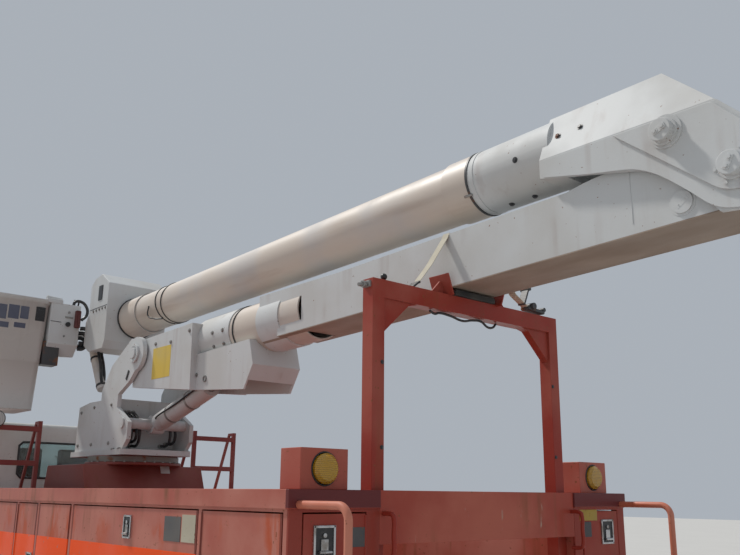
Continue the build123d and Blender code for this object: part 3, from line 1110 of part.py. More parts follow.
with BuildPart() as boom_tip:
    with BuildSketch(side_plane(TIP_HALF_WIDTH)):
        with BuildLine():
            Polyline(*[(at(station), height) for station, height in TIP_OUTLINE], close=True)
        make_face()
    extrude(amount=2 * TIP_HALF_WIDTH)
    # Arm that carries the bucket's shaft
    with BuildSketch(side_plane(ARM_HALF_WIDTH)):
        with BuildLine():
            Polyline((at(TIP_FRONT), ARM_BACK_HEIGHTS[0]), (at(ARM_FRONT), ARM_FRONT_HEIGHTS[0]),
                     (at(ARM_FRONT), ARM_FRONT_HEIGHTS[1]), (at(TIP_FRONT), ARM_BACK_HEIGHTS[1]), close=True)
        make_face()
    extrude(amount=2 * ARM_HALF_WIDTH)
    with BuildSketch(upper_section(TIP_REAR - TIP_COLLAR_LENGTH)):
        Circle(UPPER_TUBE_RADIUS + TIP_COLLAR_WALL)
    extrude(amount=TIP_BORE_START)
    with BuildSketch(upper_section(TIP_REAR - TIP_BORE_START)):
        Circle(UPPER_TUBE_RADIUS + FIT)
    extrude(amount=UPPER_TUBE_END - TIP_REAR + TIP_BORE_START + TIP_BORE_GAP, mode=Mode.SUBTRACT)
    with Locations(lateral_plane(SHAFT_STATION, SHAFT_LENGTH / 2, SHAFT_HEIGHT)):
        Cylinder(SHAFT_RADIUS, SHAFT_LENGTH)
save(boom_tip, "boom_tip")

# Bucket mount: the control box and bracket that swings on the shaft
MOUNT_INNER = 330.0
MOUNT_TOP = 3340.0
MOUNT_FRONT = SHAFT_STATION + 150.0
MOUNT_HEIGHTS = (2900.0, 2860.0, 2960.0)
MOUNT_HEEL = 90.0
BUCKET_TAPER = 40.0
rim_drop = BUCKET_BOTTOM + BUCKET_HEIGHT - MOUNT_TOP
MOUNT_OUTER = BUCKET_INNER + BUCKET_TAPER * rim_drop / BUCKET_HEIGHT - FIT
with BuildPart() as bucket_mount:
    with BuildSketch(side_plane(MOUNT_OUTER)):
        with BuildLine():
            Polyline((at(BUCKET_REAR), MOUNT_TOP), (at(MOUNT_FRONT), MOUNT_TOP),
                     (at(MOUNT_FRONT), MOUNT_HEIGHTS[0]), (at(BUCKET_REAR + MOUNT_HEEL), MOUNT_HEIGHTS[1]),
                     (at(BUCKET_REAR), MOUNT_HEIGHTS[2]), close=True)
        make_face()
    extrude(amount=MOUNT_OUTER - MOUNT_INNER)
    # Blind bore for the shaft, a little deeper than its end
    bore_start = MOUNT_INNER - CUT_MARGIN
    bore_end = SHAFT_LENGTH + 40.0
    with Locations(lateral_plane(SHAFT_STATION, (bore_start + bore_end) / 2, SHAFT_HEIGHT)):
        Cylinder(SHAFT_RADIUS + BEARING_CLEARANCE, bore_end - bore_start, mode=Mode.SUBTRACT)
save(bucket_mount, "bucket_mount")

# Bucket: a tapered fibreglass tub with a rim, open at the top
bucket_mid_x = at(BUCKET_REAR + BUCKET_LENGTH / 2)
bucket_mid_y = BUCKET_INNER + BUCKET_WIDTH / 2
BUCKET_CORNER = 70.0
BUCKET_INNER_CORNER = 56.0
BUCKET_FLOOR = 30.0
BUCKET_RIM_CUT = 1.0
with BuildPart() as bucket:
    with BuildSketch(Plane.XY.offset(BUCKET_BOTTOM)):
        with Locations((bucket_mid_x, bucket_mid_y)):
            RectangleRounded(BUCKET_LENGTH - 2 * BUCKET_TAPER, BUCKET_WIDTH - 2 * BUCKET_TAPER,
                             BUCKET_CORNER)
    with BuildSketch(Plane.XY.offset(BUCKET_BOTTOM + BUCKET_HEIGHT)):
        with Locations((bucket_mid_x, bucket_mid_y)):
            RectangleRounded(BUCKET_LENGTH, BUCKET_WIDTH, BUCKET_CORNER)
    loft()
    with BuildSketch(Plane.XY.offset(BUCKET_BOTTOM + BUCKET_FLOOR)):
        with Locations((bucket_mid_x, bucket_mid_y)):
            RectangleRounded(BUCKET_LENGTH - 2 * BUCKET_TAPER - 2 * BUCKET_WALL,
                             BUCKET_WIDTH - 2 * BUCKET_TAPER - 2 * BUCKET_WALL, BUCKET_INNER_CORNER)
    with BuildSketch(Plane.XY.offset(BUCKET_BOTTOM + BUCKET_HEIGHT + BUCKET_RIM_CUT)):
        with Locations((bucket_mid_x, bucket_mid_y)):
            RectangleRounded(BUCKET_LENGTH - 2 * BUCKET_WALL, BUCKET_WIDTH - 2 * BUCKET_WALL,
                             BUCKET_INNER_CORNER)
    loft(mode=Mode.SUBTRACT)
save(bucket, "bucket")


def cab_volume(inset):
    """Outer volume of the cab, or its cavity when inset by the wall."""
    wide = CAB_HALF_WIDTH - inset
    roof_wide = ROOF_HALF_WIDTH - inset
    with BuildSketch(Plane.XY.offset(CAB_FLOOR + inset)) as floor:
        with Locations((at((CAB_REAR + CAB_FRONT) / 2), 0)):
            Rectangle(CAB_FRONT - CAB_REAR - 2 * inset, 2 * wide)
    extrude(floor.sketch, amount=BELT_HEIGHT - CAB_FLOOR - inset)
    with BuildSketch(Plane.XY.offset(BELT_HEIGHT)) as belt:
        with Locations((at((CAB_REAR + CAB_FRONT) / 2), 0)):
            Rectangle(CAB_FRONT - CAB_REAR - 2 * inset, 2 * wide)
    with BuildSketch(Plane.XY.offset(ROOF_HEIGHT - inset)) as roof:
        with Locations((at((ROOF_REAR + ROOF_FRONT) / 2), 0)):
            Rectangle(ROOF_FRONT - ROOF_REAR - 2 * inset, 2 * roof_wide)
    loft([belt.sketch.face(), roof.sketch.face()])


# Door opening in the cab side, stepped back from the sloping windscreen post
CAB_DOOR_REAR = CAB_REAR + 210.0
CAB_DOOR_LOW = 1030.0
CAB_DOOR_HIGH = 2170.0
CAB_DOOR_OUTLINE = ((CAB_DOOR_REAR, CAB_DOOR_LOW), (CAB_FRONT - 180.0, CAB_DOOR_LOW),
                    (CAB_FRONT - 160.0, BELT_HEIGHT), (CAB_FRONT - 430.0, CAB_DOOR_HIGH),
                    (CAB_DOOR_REAR, CAB_DOOR_HIGH))
CAB_GLASS_REAR = CAB_DOOR_REAR + 80.0
CAB_GLASS_LOW = BELT_HEIGHT + 50.0
CAB_GLASS_HIGH = CAB_DOOR_HIGH - 65.0
CAB_GLASS_OUTLINE = ((CAB_GLASS_REAR, CAB_GLASS_LOW), (CAB_FRONT - 300.0, CAB_GLASS_LOW),
                     (CAB_FRONT - 490.0, CAB_GLASS_HIGH), (CAB_GLASS_REAR, CAB_GLASS_HIGH))
CAB_DOOR_GAP = 8.0
CAB_ROOF_EDGE = 45.0
DOOR_CUT = (700.0, 400.0)
GLASS_CUT = (600.0, 500.0)


def door_prism(hand, shrink, mode):
    """Prism through one side of the cab along the door's outline."""
    with BuildSketch(side_plane(hand * DOOR_CUT[0])) as opening:
        with BuildLine():
            Polyline(*[(at(station), height) for station, height in CAB_DOOR_OUTLINE], close=True)
        make_face()
        if shrink:
            offset(amount=-shrink, kind=Kind.INTERSECTION)
    extrude(opening.sketch, amount=-hand * DOOR_CUT[1], mode=mode)


with BuildPart() as cab_hollow:
    cab_volume(CAB_WALL)

with BuildPart() as cab_skin:
    cab_volume(0)
    fillet(cab_skin.edges().group_by(Axis.Z)[-1], CAB_ROOF_EDGE)
    add(cab_hollow.part, mode=Mode.SUBTRACT)

WHEEL_TILT = 50.0
STEERING_CENTRE = (CAB_FRONT - 410.0, 520.0, 1630.0)
STEERING_RADIUS = 215.0
GRIP_RADIUS = 16.0
COLUMN_LENGTH = 120.0
COLUMN_RADIUS = 24.0
SLEEVE_RADIUS = 34.0
SLEEVE_LENGTH = 140.0
DASH_STATION = CAB_FRONT - 160.0
DASH_HEIGHT = 1450.0
DASH_SIZE = 220.0
column_dir = (-sin(radians(WHEEL_TILT)), 0, cos(radians(WHEEL_TILT)))
steering_plane = Plane(origin=(at(STEERING_CENTRE[0]), STEERING_CENTRE[1], STEERING_CENTRE[2]),
                       x_dir=(0, 1, 0), z_dir=column_dir)
WINDSCREEN_BOTTOM = 1690.0
WINDSCREEN_TOP = 2150.0
WINDSCREEN_HALF = 840.0
WINDSCREEN_CUT = (150.0, 600.0)
REAR_WINDOW = (0.0, 1932.0, 1060.0, 330.0)
REAR_WINDOW_CORNER = 50.0
REAR_WINDOW_CUT = (30.0, 160.0)
with BuildPart() as cab_shell:
    add(cab_skin.part)
    for _, hand in SIDES:
        door_prism(hand, 0, Mode.SUBTRACT)
    with BuildSketch(Plane.YZ.offset(at(ROOF_FRONT - WINDSCREEN_CUT[0]))):
        with BuildLine():
            Polyline((-WINDSCREEN_HALF, WINDSCREEN_BOTTOM), (WINDSCREEN_HALF, WINDSCREEN_BOTTOM),
                     (WINDSCREEN_HALF, WINDSCREEN_TOP), (-WINDSCREEN_HALF, WINDSCREEN_TOP), close=True)
        make_face()
    extrude(amount=WINDSCREEN_CUT[1], mode=Mode.SUBTRACT)
    with BuildSketch(Plane.YZ.offset(at(CAB_REAR - REAR_WINDOW_CUT[0]))):
        with Locations((REAR_WINDOW[0], REAR_WINDOW[1])):
            RectangleRounded(REAR_WINDOW[2], REAR_WINDOW[3], REAR_WINDOW_CORNER)
    extrude(amount=REAR_WINDOW_CUT[1], mode=Mode.SUBTRACT)
    # Dashboard across the cab and the steering column's sleeve
    with Locations((at(DASH_STATION), 0, DASH_HEIGHT)):
        Box(DASH_SIZE, 2 * (CAB_HALF_WIDTH - CAB_WALL), DASH_SIZE)
    with BuildSketch(steering_plane.offset(-COLUMN_LENGTH - FIT)):
        Circle(SLEEVE_RADIUS)
    extrude(amount=-SLEEVE_LENGTH)
save(cab_shell, "cab_shell")

# Cab doors: cut from the cab's own skin, each with its window and its mirror
MIRROR_STATION = CAB_FRONT - 310.0
MIRROR_ARM_HEIGHTS = (1700.0, 2020.0)
MIRROR_ARM = (22.0, 160.0, 22.0)
MIRROR_ARM_Y = CAB_HALF_WIDTH + 60.0
MIRROR_HEAD = (50.0, 170.0, 390.0)
MIRROR_HEAD_Y = CAB_HALF_WIDTH + 150.0
for side, hand in SIDES:
    with BuildPart() as cab_door:
        add(cab_skin.part)
        door_prism(hand, CAB_DOOR_GAP, Mode.INTERSECT)
        with BuildSketch(side_plane(hand * GLASS_CUT[0])):
            with BuildLine():
                Polyline(*[(at(station), height) for station, height in CAB_GLASS_OUTLINE], close=True)
            make_face()
        extrude(amount=-hand * GLASS_CUT[1], mode=Mode.SUBTRACT)
        # Mirror arm and head ahead of the door's window
        with Locations([(at(MIRROR_STATION), hand * MIRROR_ARM_Y, height) for height in MIRROR_ARM_HEIGHTS]):
            Box(*MIRROR_ARM)
        with Locations((at(MIRROR_STATION), hand * MIRROR_HEAD_Y, sum(MIRROR_ARM_HEIGHTS) / 2)):
            Box(*MIRROR_HEAD)
    save(cab_door, f"cab_door_{side}")

# Seats: a driver's seat and a double passenger bench, cushion and back
SEAT_STATION = CAB_REAR + 210.0
SEAT_FLOOR = CAB_FLOOR + CAB_WALL
CUSHION_LENGTH = 520.0
CUSHION_HEIGHT = 300.0
CUSHION_SHIFT = 300.0
SEAT_BACK_THICKNESS = 130.0
SEAT_BACK_HEIGHT = 1040.0
SEAT_EDGE = 28.0
# Middle and width of each seat
SEAT_SPANS = ((STEERING_CENTRE[1], 520.0), (-380.0, 900.0))
with BuildPart() as seats:
    for centre, width in SEAT_SPANS:
        with Locations((at(SEAT_STATION + CUSHION_SHIFT), centre, SEAT_FLOOR + CUSHION_HEIGHT / 2)):
            Box(CUSHION_LENGTH, width, CUSHION_HEIGHT)
        with Locations((at(SEAT_STATION), centre, SEAT_FLOOR + SEAT_BACK_HEIGHT / 2)):
            Box(SEAT_BACK_THICKNESS, width, SEAT_BACK_HEIGHT)
    fillet(seats.edges().filter_by(Axis.Y), SEAT_EDGE)
save(seats, "seats")

# Steering wheel on its raked column
GRIP_SIDES = 8
WHEEL_HUB = (45.0, 40.0)
SPOKES = 3
SPOKE_LENGTH = STEERING_RADIUS - 10.0
SPOKE_WIDTH = 34.0
SPOKE_THICKNESS = 14.0
grip_plane = Plane(origin=steering_plane.origin, x_dir=(0, 1, 0), z_dir=(column_dir[2], 0, -column_dir[0]))
with BuildPart() as steering_wheel:
    with BuildSketch(grip_plane):
        with Locations((STEERING_RADIUS, 0)):
            RegularPolygon(GRIP_RADIUS, GRIP_SIDES)
    revolve(axis=Axis(steering_plane.origin, column_dir))
    with Locations(steering_plane):
        Cylinder(*WHEEL_HUB)
        with PolarLocations(STEERING_RADIUS / 2, SPOKES, start_angle=90):
            Box(SPOKE_LENGTH, SPOKE_WIDTH, SPOKE_THICKNESS)
    with BuildSketch(steering_plane):
        Circle(COLUMN_RADIUS)
    extrude(amount=-COLUMN_LENGTH)
save(steering_wheel, "steering_wheel")

# Windscreen and rear window glass, seated in the cab's openings
GLASS = 8.0
SCREEN_SETBACK = 20.0
REAR_GLASS_SETBACK = 24.0
REAR_GLASS_GAP = 0.5
slope_run = CAB_FRONT - ROOF_FRONT
slope_rise = ROOF_HEIGHT - BELT_HEIGHT


def screen_at(height):
    """Station of the windscreen glass's outer face at a height."""
    return CAB_FRONT - slope_run * (height - BELT_HEIGHT) / slope_rise - SCREEN_SETBACK


with BuildPart() as cab_glass:
    with BuildSketch(side_plane(WINDSCREEN_HALF - FIT)):
        with BuildLine():
            low = WINDSCREEN_BOTTOM + FIT
            high = WINDSCREEN_TOP - FIT
            Polyline((at(screen_at(low)), low), (at(screen_at(low) - GLASS), low),
                     (at(screen_at(high) - GLASS), high), (at(screen_at(high)), high), close=True)
        make_face()
    extrude(amount=2 * (WINDSCREEN_HALF - FIT))
    rear_slope = (ROOF_REAR - CAB_REAR) / slope_rise
    rear_glass_station = CAB_REAR + rear_slope * (REAR_WINDOW[1] - BELT_HEIGHT) + REAR_GLASS_SETBACK
    with BuildSketch(Plane.YZ.offset(at(rear_glass_station))):
        with Locations((REAR_WINDOW[0], REAR_WINDOW[1])):
            RectangleRounded(REAR_WINDOW[2] - 2 * REAR_GLASS_GAP, REAR_WINDOW[3] - 2 * REAR_GLASS_GAP,
                             REAR_WINDOW_CORNER - REAR_GLASS_GAP)
    extrude(amount=GLASS)
save(cab_glass, "cab_glass")

# Tilting hood: bonnet and wide fenders in one thin shell, open below and behind
HOOD_REAR = CAB_FRONT + 12.0
HOOD_BACK_HEIGHT = 1600.0
HOOD_NOSE_HEIGHT = 1450.0
HOOD_LOW = 800.0
NOSE_LOW = 900.0
FENDER_HEIGHT = 1180.0
FENDER_LOW = 760.0
FRONT_ARCH_RADIUS = 640.0
HOOD_ARM_INNER = 442.0
HOOD_ARM_THICKNESS = 20.0
HOOD_OPENING_DROP = 200.0
HOOD_BACK_CUT = (200.0, 760.0)
HOOD_BACK_SHIFT = 50.0
HOOD_BACK_RISE = 340.0
ARCH_CUT = 3000.0
GRILLE_HEIGHT = 1080.0
GRILLE = (60.0, 860.0, 360.0)
GRILLE_SHIFT = 15.0
GRILLE_BARS = 9
GRILLE_PITCH = 86.0
GRILLE_BAR = (22.0, 26.0, 380.0)
GRILLE_BAR_SHIFT = 16.0
LAMP_Y = 565.0
LAMP_SINK = 4.0
LAMP_BEZEL = (105.0, 16.0)
LAMP_GLASS = (88.0, 24.0)
ARM_NOSE = HOOD_NOSE - HOOD_WALL + 5.0
ARM_LOW = NOSE_LOW + 20.0
ARM_TOP = NOSE_LOW + 140.0
ARM_FOOT = 26.0
ARM_PIN_CUT = 60.0


def bonnet(inset, drop):
    """Sloping bonnet volume between the fenders."""
    with BuildSketch(side_plane(HOOD_HALF_WIDTH - inset)) as profile:
        with BuildLine():
            Polyline((at(HOOD_REAR), HOOD_LOW - drop), (at(HOOD_NOSE - 300), HOOD_LOW - drop),
                     (at(HOOD_NOSE - 200), NOSE_LOW - drop), (at(HOOD_NOSE - inset), NOSE_LOW - drop),
                     (at(HOOD_NOSE - inset), HOOD_NOSE_HEIGHT - 150 - inset / 2),
                     (at(HOOD_NOSE - 130 - inset), HOOD_NOSE_HEIGHT - inset),
                     (at(HOOD_REAR), HOOD_BACK_HEIGHT - inset), close=True)
        make_face()
    extrude(profile.sketch, amount=2 * (HOOD_HALF_WIDTH - inset))


def fenders(inset, drop):
    """Wide fender volume over the front wheels."""
    with BuildSketch(side_plane(FENDER_HALF_WIDTH - inset)) as profile:
        with BuildLine():
            Polyline((at(HOOD_REAR), FENDER_LOW - drop), (at(HOOD_NOSE - 40 - inset), FENDER_LOW - drop),
                     (at(HOOD_NOSE - 40 - inset), FENDER_HEIGHT - 160),
                     (at(HOOD_NOSE - 220), FENDER_HEIGHT - inset),
                     (at(HOOD_REAR + 180), FENDER_HEIGHT - inset),
                     (at(HOOD_REAR), FENDER_HEIGHT - 60 - inset), close=True)
        make_face()
    extrude(profile.sketch, amount=2 * (FENDER_HALF_WIDTH - inset))


with BuildPart() as hood_cavity:
    bonnet(HOOD_WALL, HOOD_OPENING_DROP)
    fenders(HOOD_WALL, HOOD_OPENING_DROP)
    with Locations((at(HOOD_REAR - HOOD_BACK_SHIFT), 0, HOOD_LOW + HOOD_BACK_RISE)):
        Box(HOOD_BACK_CUT[0], 2 * (HOOD_HALF_WIDTH - HOOD_WALL), HOOD_BACK_CUT[1])
with BuildPart() as hood:
    bonnet(0, 0)
    fenders(0, 0)
    add(hood_cavity.part, mode=Mode.SUBTRACT)
    with Locations(lateral_plane(FRONT_AXLE_STATION, 0, TYRE_RADIUS)):
        Cylinder(FRONT_ARCH_RADIUS, ARCH_CUT, mode=Mode.SUBTRACT)
    # Grille opening with upright bars
    with Locations((at(HOOD_NOSE - GRILLE_SHIFT), 0, GRILLE_HEIGHT)):
        Box(*GRILLE, mode=Mode.SUBTRACT)
    middle_bar = (GRILLE_BARS - 1) / 2
    with Locations([(at(HOOD_NOSE - GRILLE_BAR_SHIFT), GRILLE_PITCH * (bar - middle_bar), GRILLE_HEIGHT)
                    for bar in range(GRILLE_BARS)]):
        Box(*GRILLE_BAR)
    for _, hand in SIDES:
        # Round headlamp in a shallow bezel
        lamp_foot = (at(HOOD_NOSE - LAMP_SINK), hand * LAMP_Y, GRILLE_HEIGHT)
        with Locations(Plane(origin=lamp_foot, x_dir=(0, 1, 0), z_dir=(1, 0, 0))):
            Cylinder(*LAMP_BEZEL, align=(Align.CENTER, Align.CENTER, Align.MIN))
            Cylinder(*LAMP_GLASS, align=(Align.CENTER, Align.CENTER, Align.MIN))
        # Arm from the nose panel down to the hinge pin
        with BuildSketch(side_plane(hand * HOOD_ARM_INNER)):
            with BuildLine():
                Polyline((at(HOOD_PIN_STATION - ARM_FOOT), HOOD_PIN_HEIGHT - ARM_FOOT),
                         (at(HOOD_PIN_STATION + ARM_FOOT), HOOD_PIN_HEIGHT - ARM_FOOT),
                         (at(ARM_NOSE), ARM_LOW), (at(ARM_NOSE), ARM_TOP),
                         (at(HOOD_PIN_STATION + 20), ARM_TOP),
                         (at(HOOD_PIN_STATION - ARM_FOOT), HOOD_PIN_HEIGHT + 60), close=True)
            make_face()
        extrude(amount=-hand * HOOD_ARM_THICKNESS)
        arm_y = hand * (HOOD_ARM_INNER + HOOD_ARM_THICKNESS / 2)
        with Locations(lateral_plane(HOOD_PIN_STATION, arm_y, HOOD_PIN_HEIGHT)):
            Cylinder(HOOD_PIN_RADIUS + BEARING_CLEARANCE, ARM_PIN_CUT, mode=Mode.SUBTRACT)
save(hood, "hood")

# Front bumper with its two brackets under the rail ends
BUMPER_LOW = 500.0
BUMPER_HIGH = 728.0
BUMPER_FLAT_HALF = 900.0
BUMPER_HALF_WIDTH = 1190.0
BUMPER_SWEEP = 130.0
BUMPER_END = 160.0
BUMPER_THICKNESS = 60.0
HORN_OVERLAP = 50.0
HORN_INTO_BUMPER = 5.0
HORN_HEIGHT = 70.0
with BuildPart() as front_bumper:
    with BuildSketch(Plane.XY.offset(BUMPER_LOW)):
        with BuildLine():
            face_x = at(BUMPER_FRONT)
            back_x = at(BUMPER_FRONT - BUMPER_THICKNESS)
            tip_x = at(BUMPER_FRONT - BUMPER_SWEEP)
            end_x = at(BUMPER_FRONT - BUMPER_END)
            Polyline((face_x, -BUMPER_FLAT_HALF), (face_x, BUMPER_FLAT_HALF), (tip_x, BUMPER_HALF_WIDTH),
                     (end_x, BUMPER_HALF_WIDTH), (back_x, BUMPER_FLAT_HALF), (back_x, -BUMPER_FLAT_HALF),
                     (end_x, -BUMPER_HALF_WIDTH), (tip_x, -BUMPER_HALF_WIDTH), close=True)
        make_face()
    extrude(amount=BUMPER_HIGH - BUMPER_LOW)
    horn_rear = RAIL_FRONT - HORN_OVERLAP
    horn_front = BUMPER_FRONT - BUMPER_THICKNESS + HORN_INTO_BUMPER
    horn_x = at((horn_rear + horn_front) / 2)
    with Locations([(horn_x, hand * rail_centre, rail_bottom - HORN_HEIGHT / 2) for _, hand in SIDES]):
        Box(horn_front - horn_rear, RAIL_FLANGE, HORN_HEIGHT)
save(front_bumper, "front_bumper")

# Side tanks with a step below each cab door
TANK_LENGTH = 1000.0
TANK_RADIUS = 240.0
TANK_Y = 720.0
TANK_STATION = CAB_REAR + 550.0
TANK_HEIGHT = 680.0
TANK_HANGER = (60.0, 59.4, 140.0)
TANK_HANGER_REACH = 330.0
TANK_HANGER_HEIGHT = 800.0
STEP_WIDTH = 140.0
STEP_THICKNESS = 30.0
STEP_HEIGHT = 520.0
STEP_BRACKET = (40.0, 120.0, 90.0)
STEP_BRACKET_REACH = 400.0
STEP_BRACKET_Y = TANK_Y + 170.0
STEP_BRACKET_HEIGHT = 560.0
with BuildPart() as side_tanks:
    for _, hand in SIDES:
        with BuildSketch(Plane.YZ.offset(at(TANK_STATION - TANK_LENGTH / 2))):
            with Locations((hand * TANK_Y, TANK_HEIGHT)):
                Circle(TANK_RADIUS)
        extrude(amount=TANK_LENGTH)
        hanger_y = RAIL_OUTER + FIT + TANK_HANGER[1] / 2
        for reach in (-TANK_HANGER_REACH, TANK_HANGER_REACH):
            with Locations((at(TANK_STATION + reach), hand * hanger_y, TANK_HANGER_HEIGHT)):
                Box(*TANK_HANGER)
        with Locations((at(TANK_STATION), hand * (TANK_Y + TANK_RADIUS), STEP_HEIGHT)):
            Box(TANK_LENGTH, STEP_WIDTH, STEP_THICKNESS)
        for reach in (-STEP_BRACKET_REACH, STEP_BRACKET_REACH):
            with Locations((at(TANK_STATION + reach), hand * STEP_BRACKET_Y, STEP_BRACKET_HEIGHT)):
                Box(*STEP_BRACKET)
save(side_tanks, "side_tanks")
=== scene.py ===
# A cherry picker truck, parked with its two booms folded back over the boom rest.
# Places along the truck are stations in metres, measured forward from the body's rear face.
from math import cos, pi, radians, sin

import bmesh
import bpy
from mathutils import Matrix, Vector
from mathutils.geometry import interpolate_bezier


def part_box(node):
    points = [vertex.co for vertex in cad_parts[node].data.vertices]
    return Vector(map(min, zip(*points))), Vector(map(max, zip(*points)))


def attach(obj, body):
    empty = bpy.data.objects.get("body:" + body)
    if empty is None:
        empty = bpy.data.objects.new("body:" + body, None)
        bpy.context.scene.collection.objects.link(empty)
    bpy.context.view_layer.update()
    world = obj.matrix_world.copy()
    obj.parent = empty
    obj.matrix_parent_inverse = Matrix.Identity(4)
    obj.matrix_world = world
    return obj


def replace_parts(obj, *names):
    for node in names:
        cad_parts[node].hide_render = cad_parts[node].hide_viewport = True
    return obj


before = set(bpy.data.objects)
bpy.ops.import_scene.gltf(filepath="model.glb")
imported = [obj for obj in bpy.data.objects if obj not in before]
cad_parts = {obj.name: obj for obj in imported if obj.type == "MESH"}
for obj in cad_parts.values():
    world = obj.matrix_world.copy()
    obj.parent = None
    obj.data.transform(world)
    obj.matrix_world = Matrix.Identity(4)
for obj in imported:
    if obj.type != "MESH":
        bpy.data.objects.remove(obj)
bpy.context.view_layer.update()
# Each side of the truck, with the sign of its Y
SIDES = (("left", 1), ("right", -1))

# Camera: a photographer's eye 1.65 m above the ground, off the truck's rear left corner,
# turned forward across the truck and tilted up at the folded booms.
ORIGIN_STATION = 3.174
EYE_STATION = -2.877
EYE_SIDE = 3.283
EYE_HEIGHT = 1.65
YAW = radians(40.87)
PITCH = radians(14.62)
ROLL = radians(0.56)
FOCAL_LENGTH = 40.34
SENSOR_WIDTH = 36.0
VIEW_DEPTH = 200.0


def at(station):
    """X of a station, with the origin under the middle of the vehicle."""
    return station - ORIGIN_STATION


level_ahead = Vector((cos(YAW), -sin(YAW), 0))
level_right = Vector((-sin(YAW), -cos(YAW), 0))
sight = cos(PITCH) * level_ahead + sin(PITCH) * Vector((0, 0, 1))
crown = -sin(PITCH) * level_ahead + cos(PITCH) * Vector((0, 0, 1))
frame_right = cos(ROLL) * level_right + sin(ROLL) * crown
frame_up = -sin(ROLL) * level_right + cos(ROLL) * crown
camera_data = bpy.data.cameras.new("camera")
camera_data.lens = FOCAL_LENGTH
camera_data.sensor_width = SENSOR_WIDTH
camera_data.sensor_fit = "HORIZONTAL"
camera_data.clip_end = VIEW_DEPTH
camera = bpy.data.objects.new("camera", camera_data)
bpy.context.scene.collection.objects.link(camera)
turn = Matrix((frame_right, frame_up, -sight)).transposed().to_4x4()
camera.matrix_world = Matrix.Translation((at(EYE_STATION), EYE_SIDE, EYE_HEIGHT)) @ turn
bpy.context.scene.camera = camera

# Floor and light: a pale studio floor, a bright pale surround and one soft-edged key light
# high over the truck's front left.
FLOOR_SIZE = 120.0
FLOOR_TONE = (0.50, 0.49, 0.47)
FLOOR_DAPPLE_TONE = (0.55, 0.54, 0.52)
SURROUND_TONE = (0.80, 0.87, 0.96, 1)
SURROUND_STRENGTH = 0.50
KEY_WARMTH = (1.0, 0.97, 0.92)
KEY_STRENGTH = 2.75
KEY_WIDTH = radians(4)
KEY_FROM = (0.72, 0.25, 1.0)


def add_node(finish, kind, inputs=None, **settings):
    """A node in a finish's tree; sockets given as inputs are linked and other values are set."""
    node = finish.node_tree.nodes.new(kind)
    for key, value in settings.items():
        setattr(node, key, value)
    for key, value in (inputs or {}).items():
        if isinstance(value, bpy.types.NodeSocket):
            finish.node_tree.links.new(value, node.inputs[key])
        else:
            node.inputs[key].default_value = value
    return node


def shader_of(finish):
    """The shader node of a finish."""
    return finish.node_tree.nodes["Principled BSDF"]


def start_finish(name, roughness=0.5, metallic=0.0):
    """A new material with its shader's plain values set."""
    finish = bpy.data.materials.new(name)
    finish.use_nodes = True
    shader_of(finish).inputs["Roughness"].default_value = roughness
    shader_of(finish).inputs["Metallic"].default_value = metallic
    return finish


def place_of(finish):
    """Coordinates over the object, for a finish's textures."""
    return add_node(finish, "ShaderNodeTexCoord").outputs["Object"]


def cloud(finish, scale, detail=4.0, stretch=(1, 1, 1), shift=(0, 0, 0)):
    """Soft noise over the object, its grain stretched along an axis, from 0 to 1."""
    fitted = add_node(finish, "ShaderNodeMapping",
                      {"Vector": place_of(finish), "Scale": stretch, "Location": shift})
    return add_node(finish, "ShaderNodeTexNoise",
                    {"Vector": fitted.outputs["Vector"], "Scale": scale, "Detail": detail}).outputs["Fac"]


def waves(finish, scale, axis, distortion=0.0):
    """Even ridges that follow each other along an axis, from 0 to 1."""
    values = {"Vector": place_of(finish), "Scale": scale, "Distortion": distortion}
    return add_node(finish, "ShaderNodeTexWave", values, bands_direction=axis).outputs["Fac"]


def step(finish, value, low, high):
    """Share that rises from 0 at low to 1 at high."""
    return add_node(finish, "ShaderNodeMapRange", {"Value": value, "From Min": low, "From Max": high},
                    interpolation_type="SMOOTHSTEP").outputs["Result"]


def both(finish, first, second):
    """Product of two shares."""
    return add_node(finish, "ShaderNodeMath", {0: first, 1: second}, operation="MULTIPLY").outputs[0]


def over(finish, share, under, top):
    """One tone laid over another by a share; tones are colours or sockets."""
    mix = add_node(finish, "ShaderNodeMix", {"Factor": share}, data_type="RGBA")
    for socket, tone in ((mix.inputs[6], under), (mix.inputs[7], top)):
        if isinstance(tone, bpy.types.NodeSocket):
            finish.node_tree.links.new(tone, socket)
        else:
            socket.default_value = (*tone[:3], 1)
    return mix.outputs[2]


def apply_finish(finish, tone=None, rough=None, height=None, depth=0.001):
    """Link a tone, a roughness range over a share, and a surface height to the shader."""
    shader = shader_of(finish)
    links = finish.node_tree.links
    if tone is not None:
        links.new(tone, shader.inputs["Base Color"])
    if rough is not None:
        share, low, high = rough
        sheen = add_node(finish, "ShaderNodeMapRange", {"Value": share, "To Min": low, "To Max": high})
        links.new(sheen.outputs["Result"], shader.inputs["Roughness"])
    if height is not None:
        bump = add_node(finish, "ShaderNodeBump", {"Height": height, "Distance": depth, "Strength": 1.0})
        links.new(bump.outputs["Normal"], shader.inputs["Normal"])
    return finish


def pick(piece):
    """Select one object and nothing else, and make it active."""
    bpy.ops.object.select_all(action="DESELECT")
    piece.select_set(True)
    bpy.context.view_layer.objects.active = piece


def linked(name, data):
    """A new object of a mesh or curve, in the scene and picked."""
    piece = bpy.data.objects.new(name, data)
    bpy.context.scene.collection.objects.link(piece)
    pick(piece)
    return piece


bpy.ops.object.select_all(action="DESELECT")
bpy.ops.mesh.primitive_grid_add(x_subdivisions=4, y_subdivisions=4, size=FLOOR_SIZE)
floor = bpy.context.object
floor.name = "floor"
studio_floor = start_finish("studio_floor", roughness=0.85)
floor_dapple = cloud(studio_floor, 0.6, detail=6.0)
apply_finish(studio_floor, over(studio_floor, floor_dapple, FLOOR_TONE, FLOOR_DAPPLE_TONE),
             height=cloud(studio_floor, 30.0))
floor.data.materials.append(studio_floor)

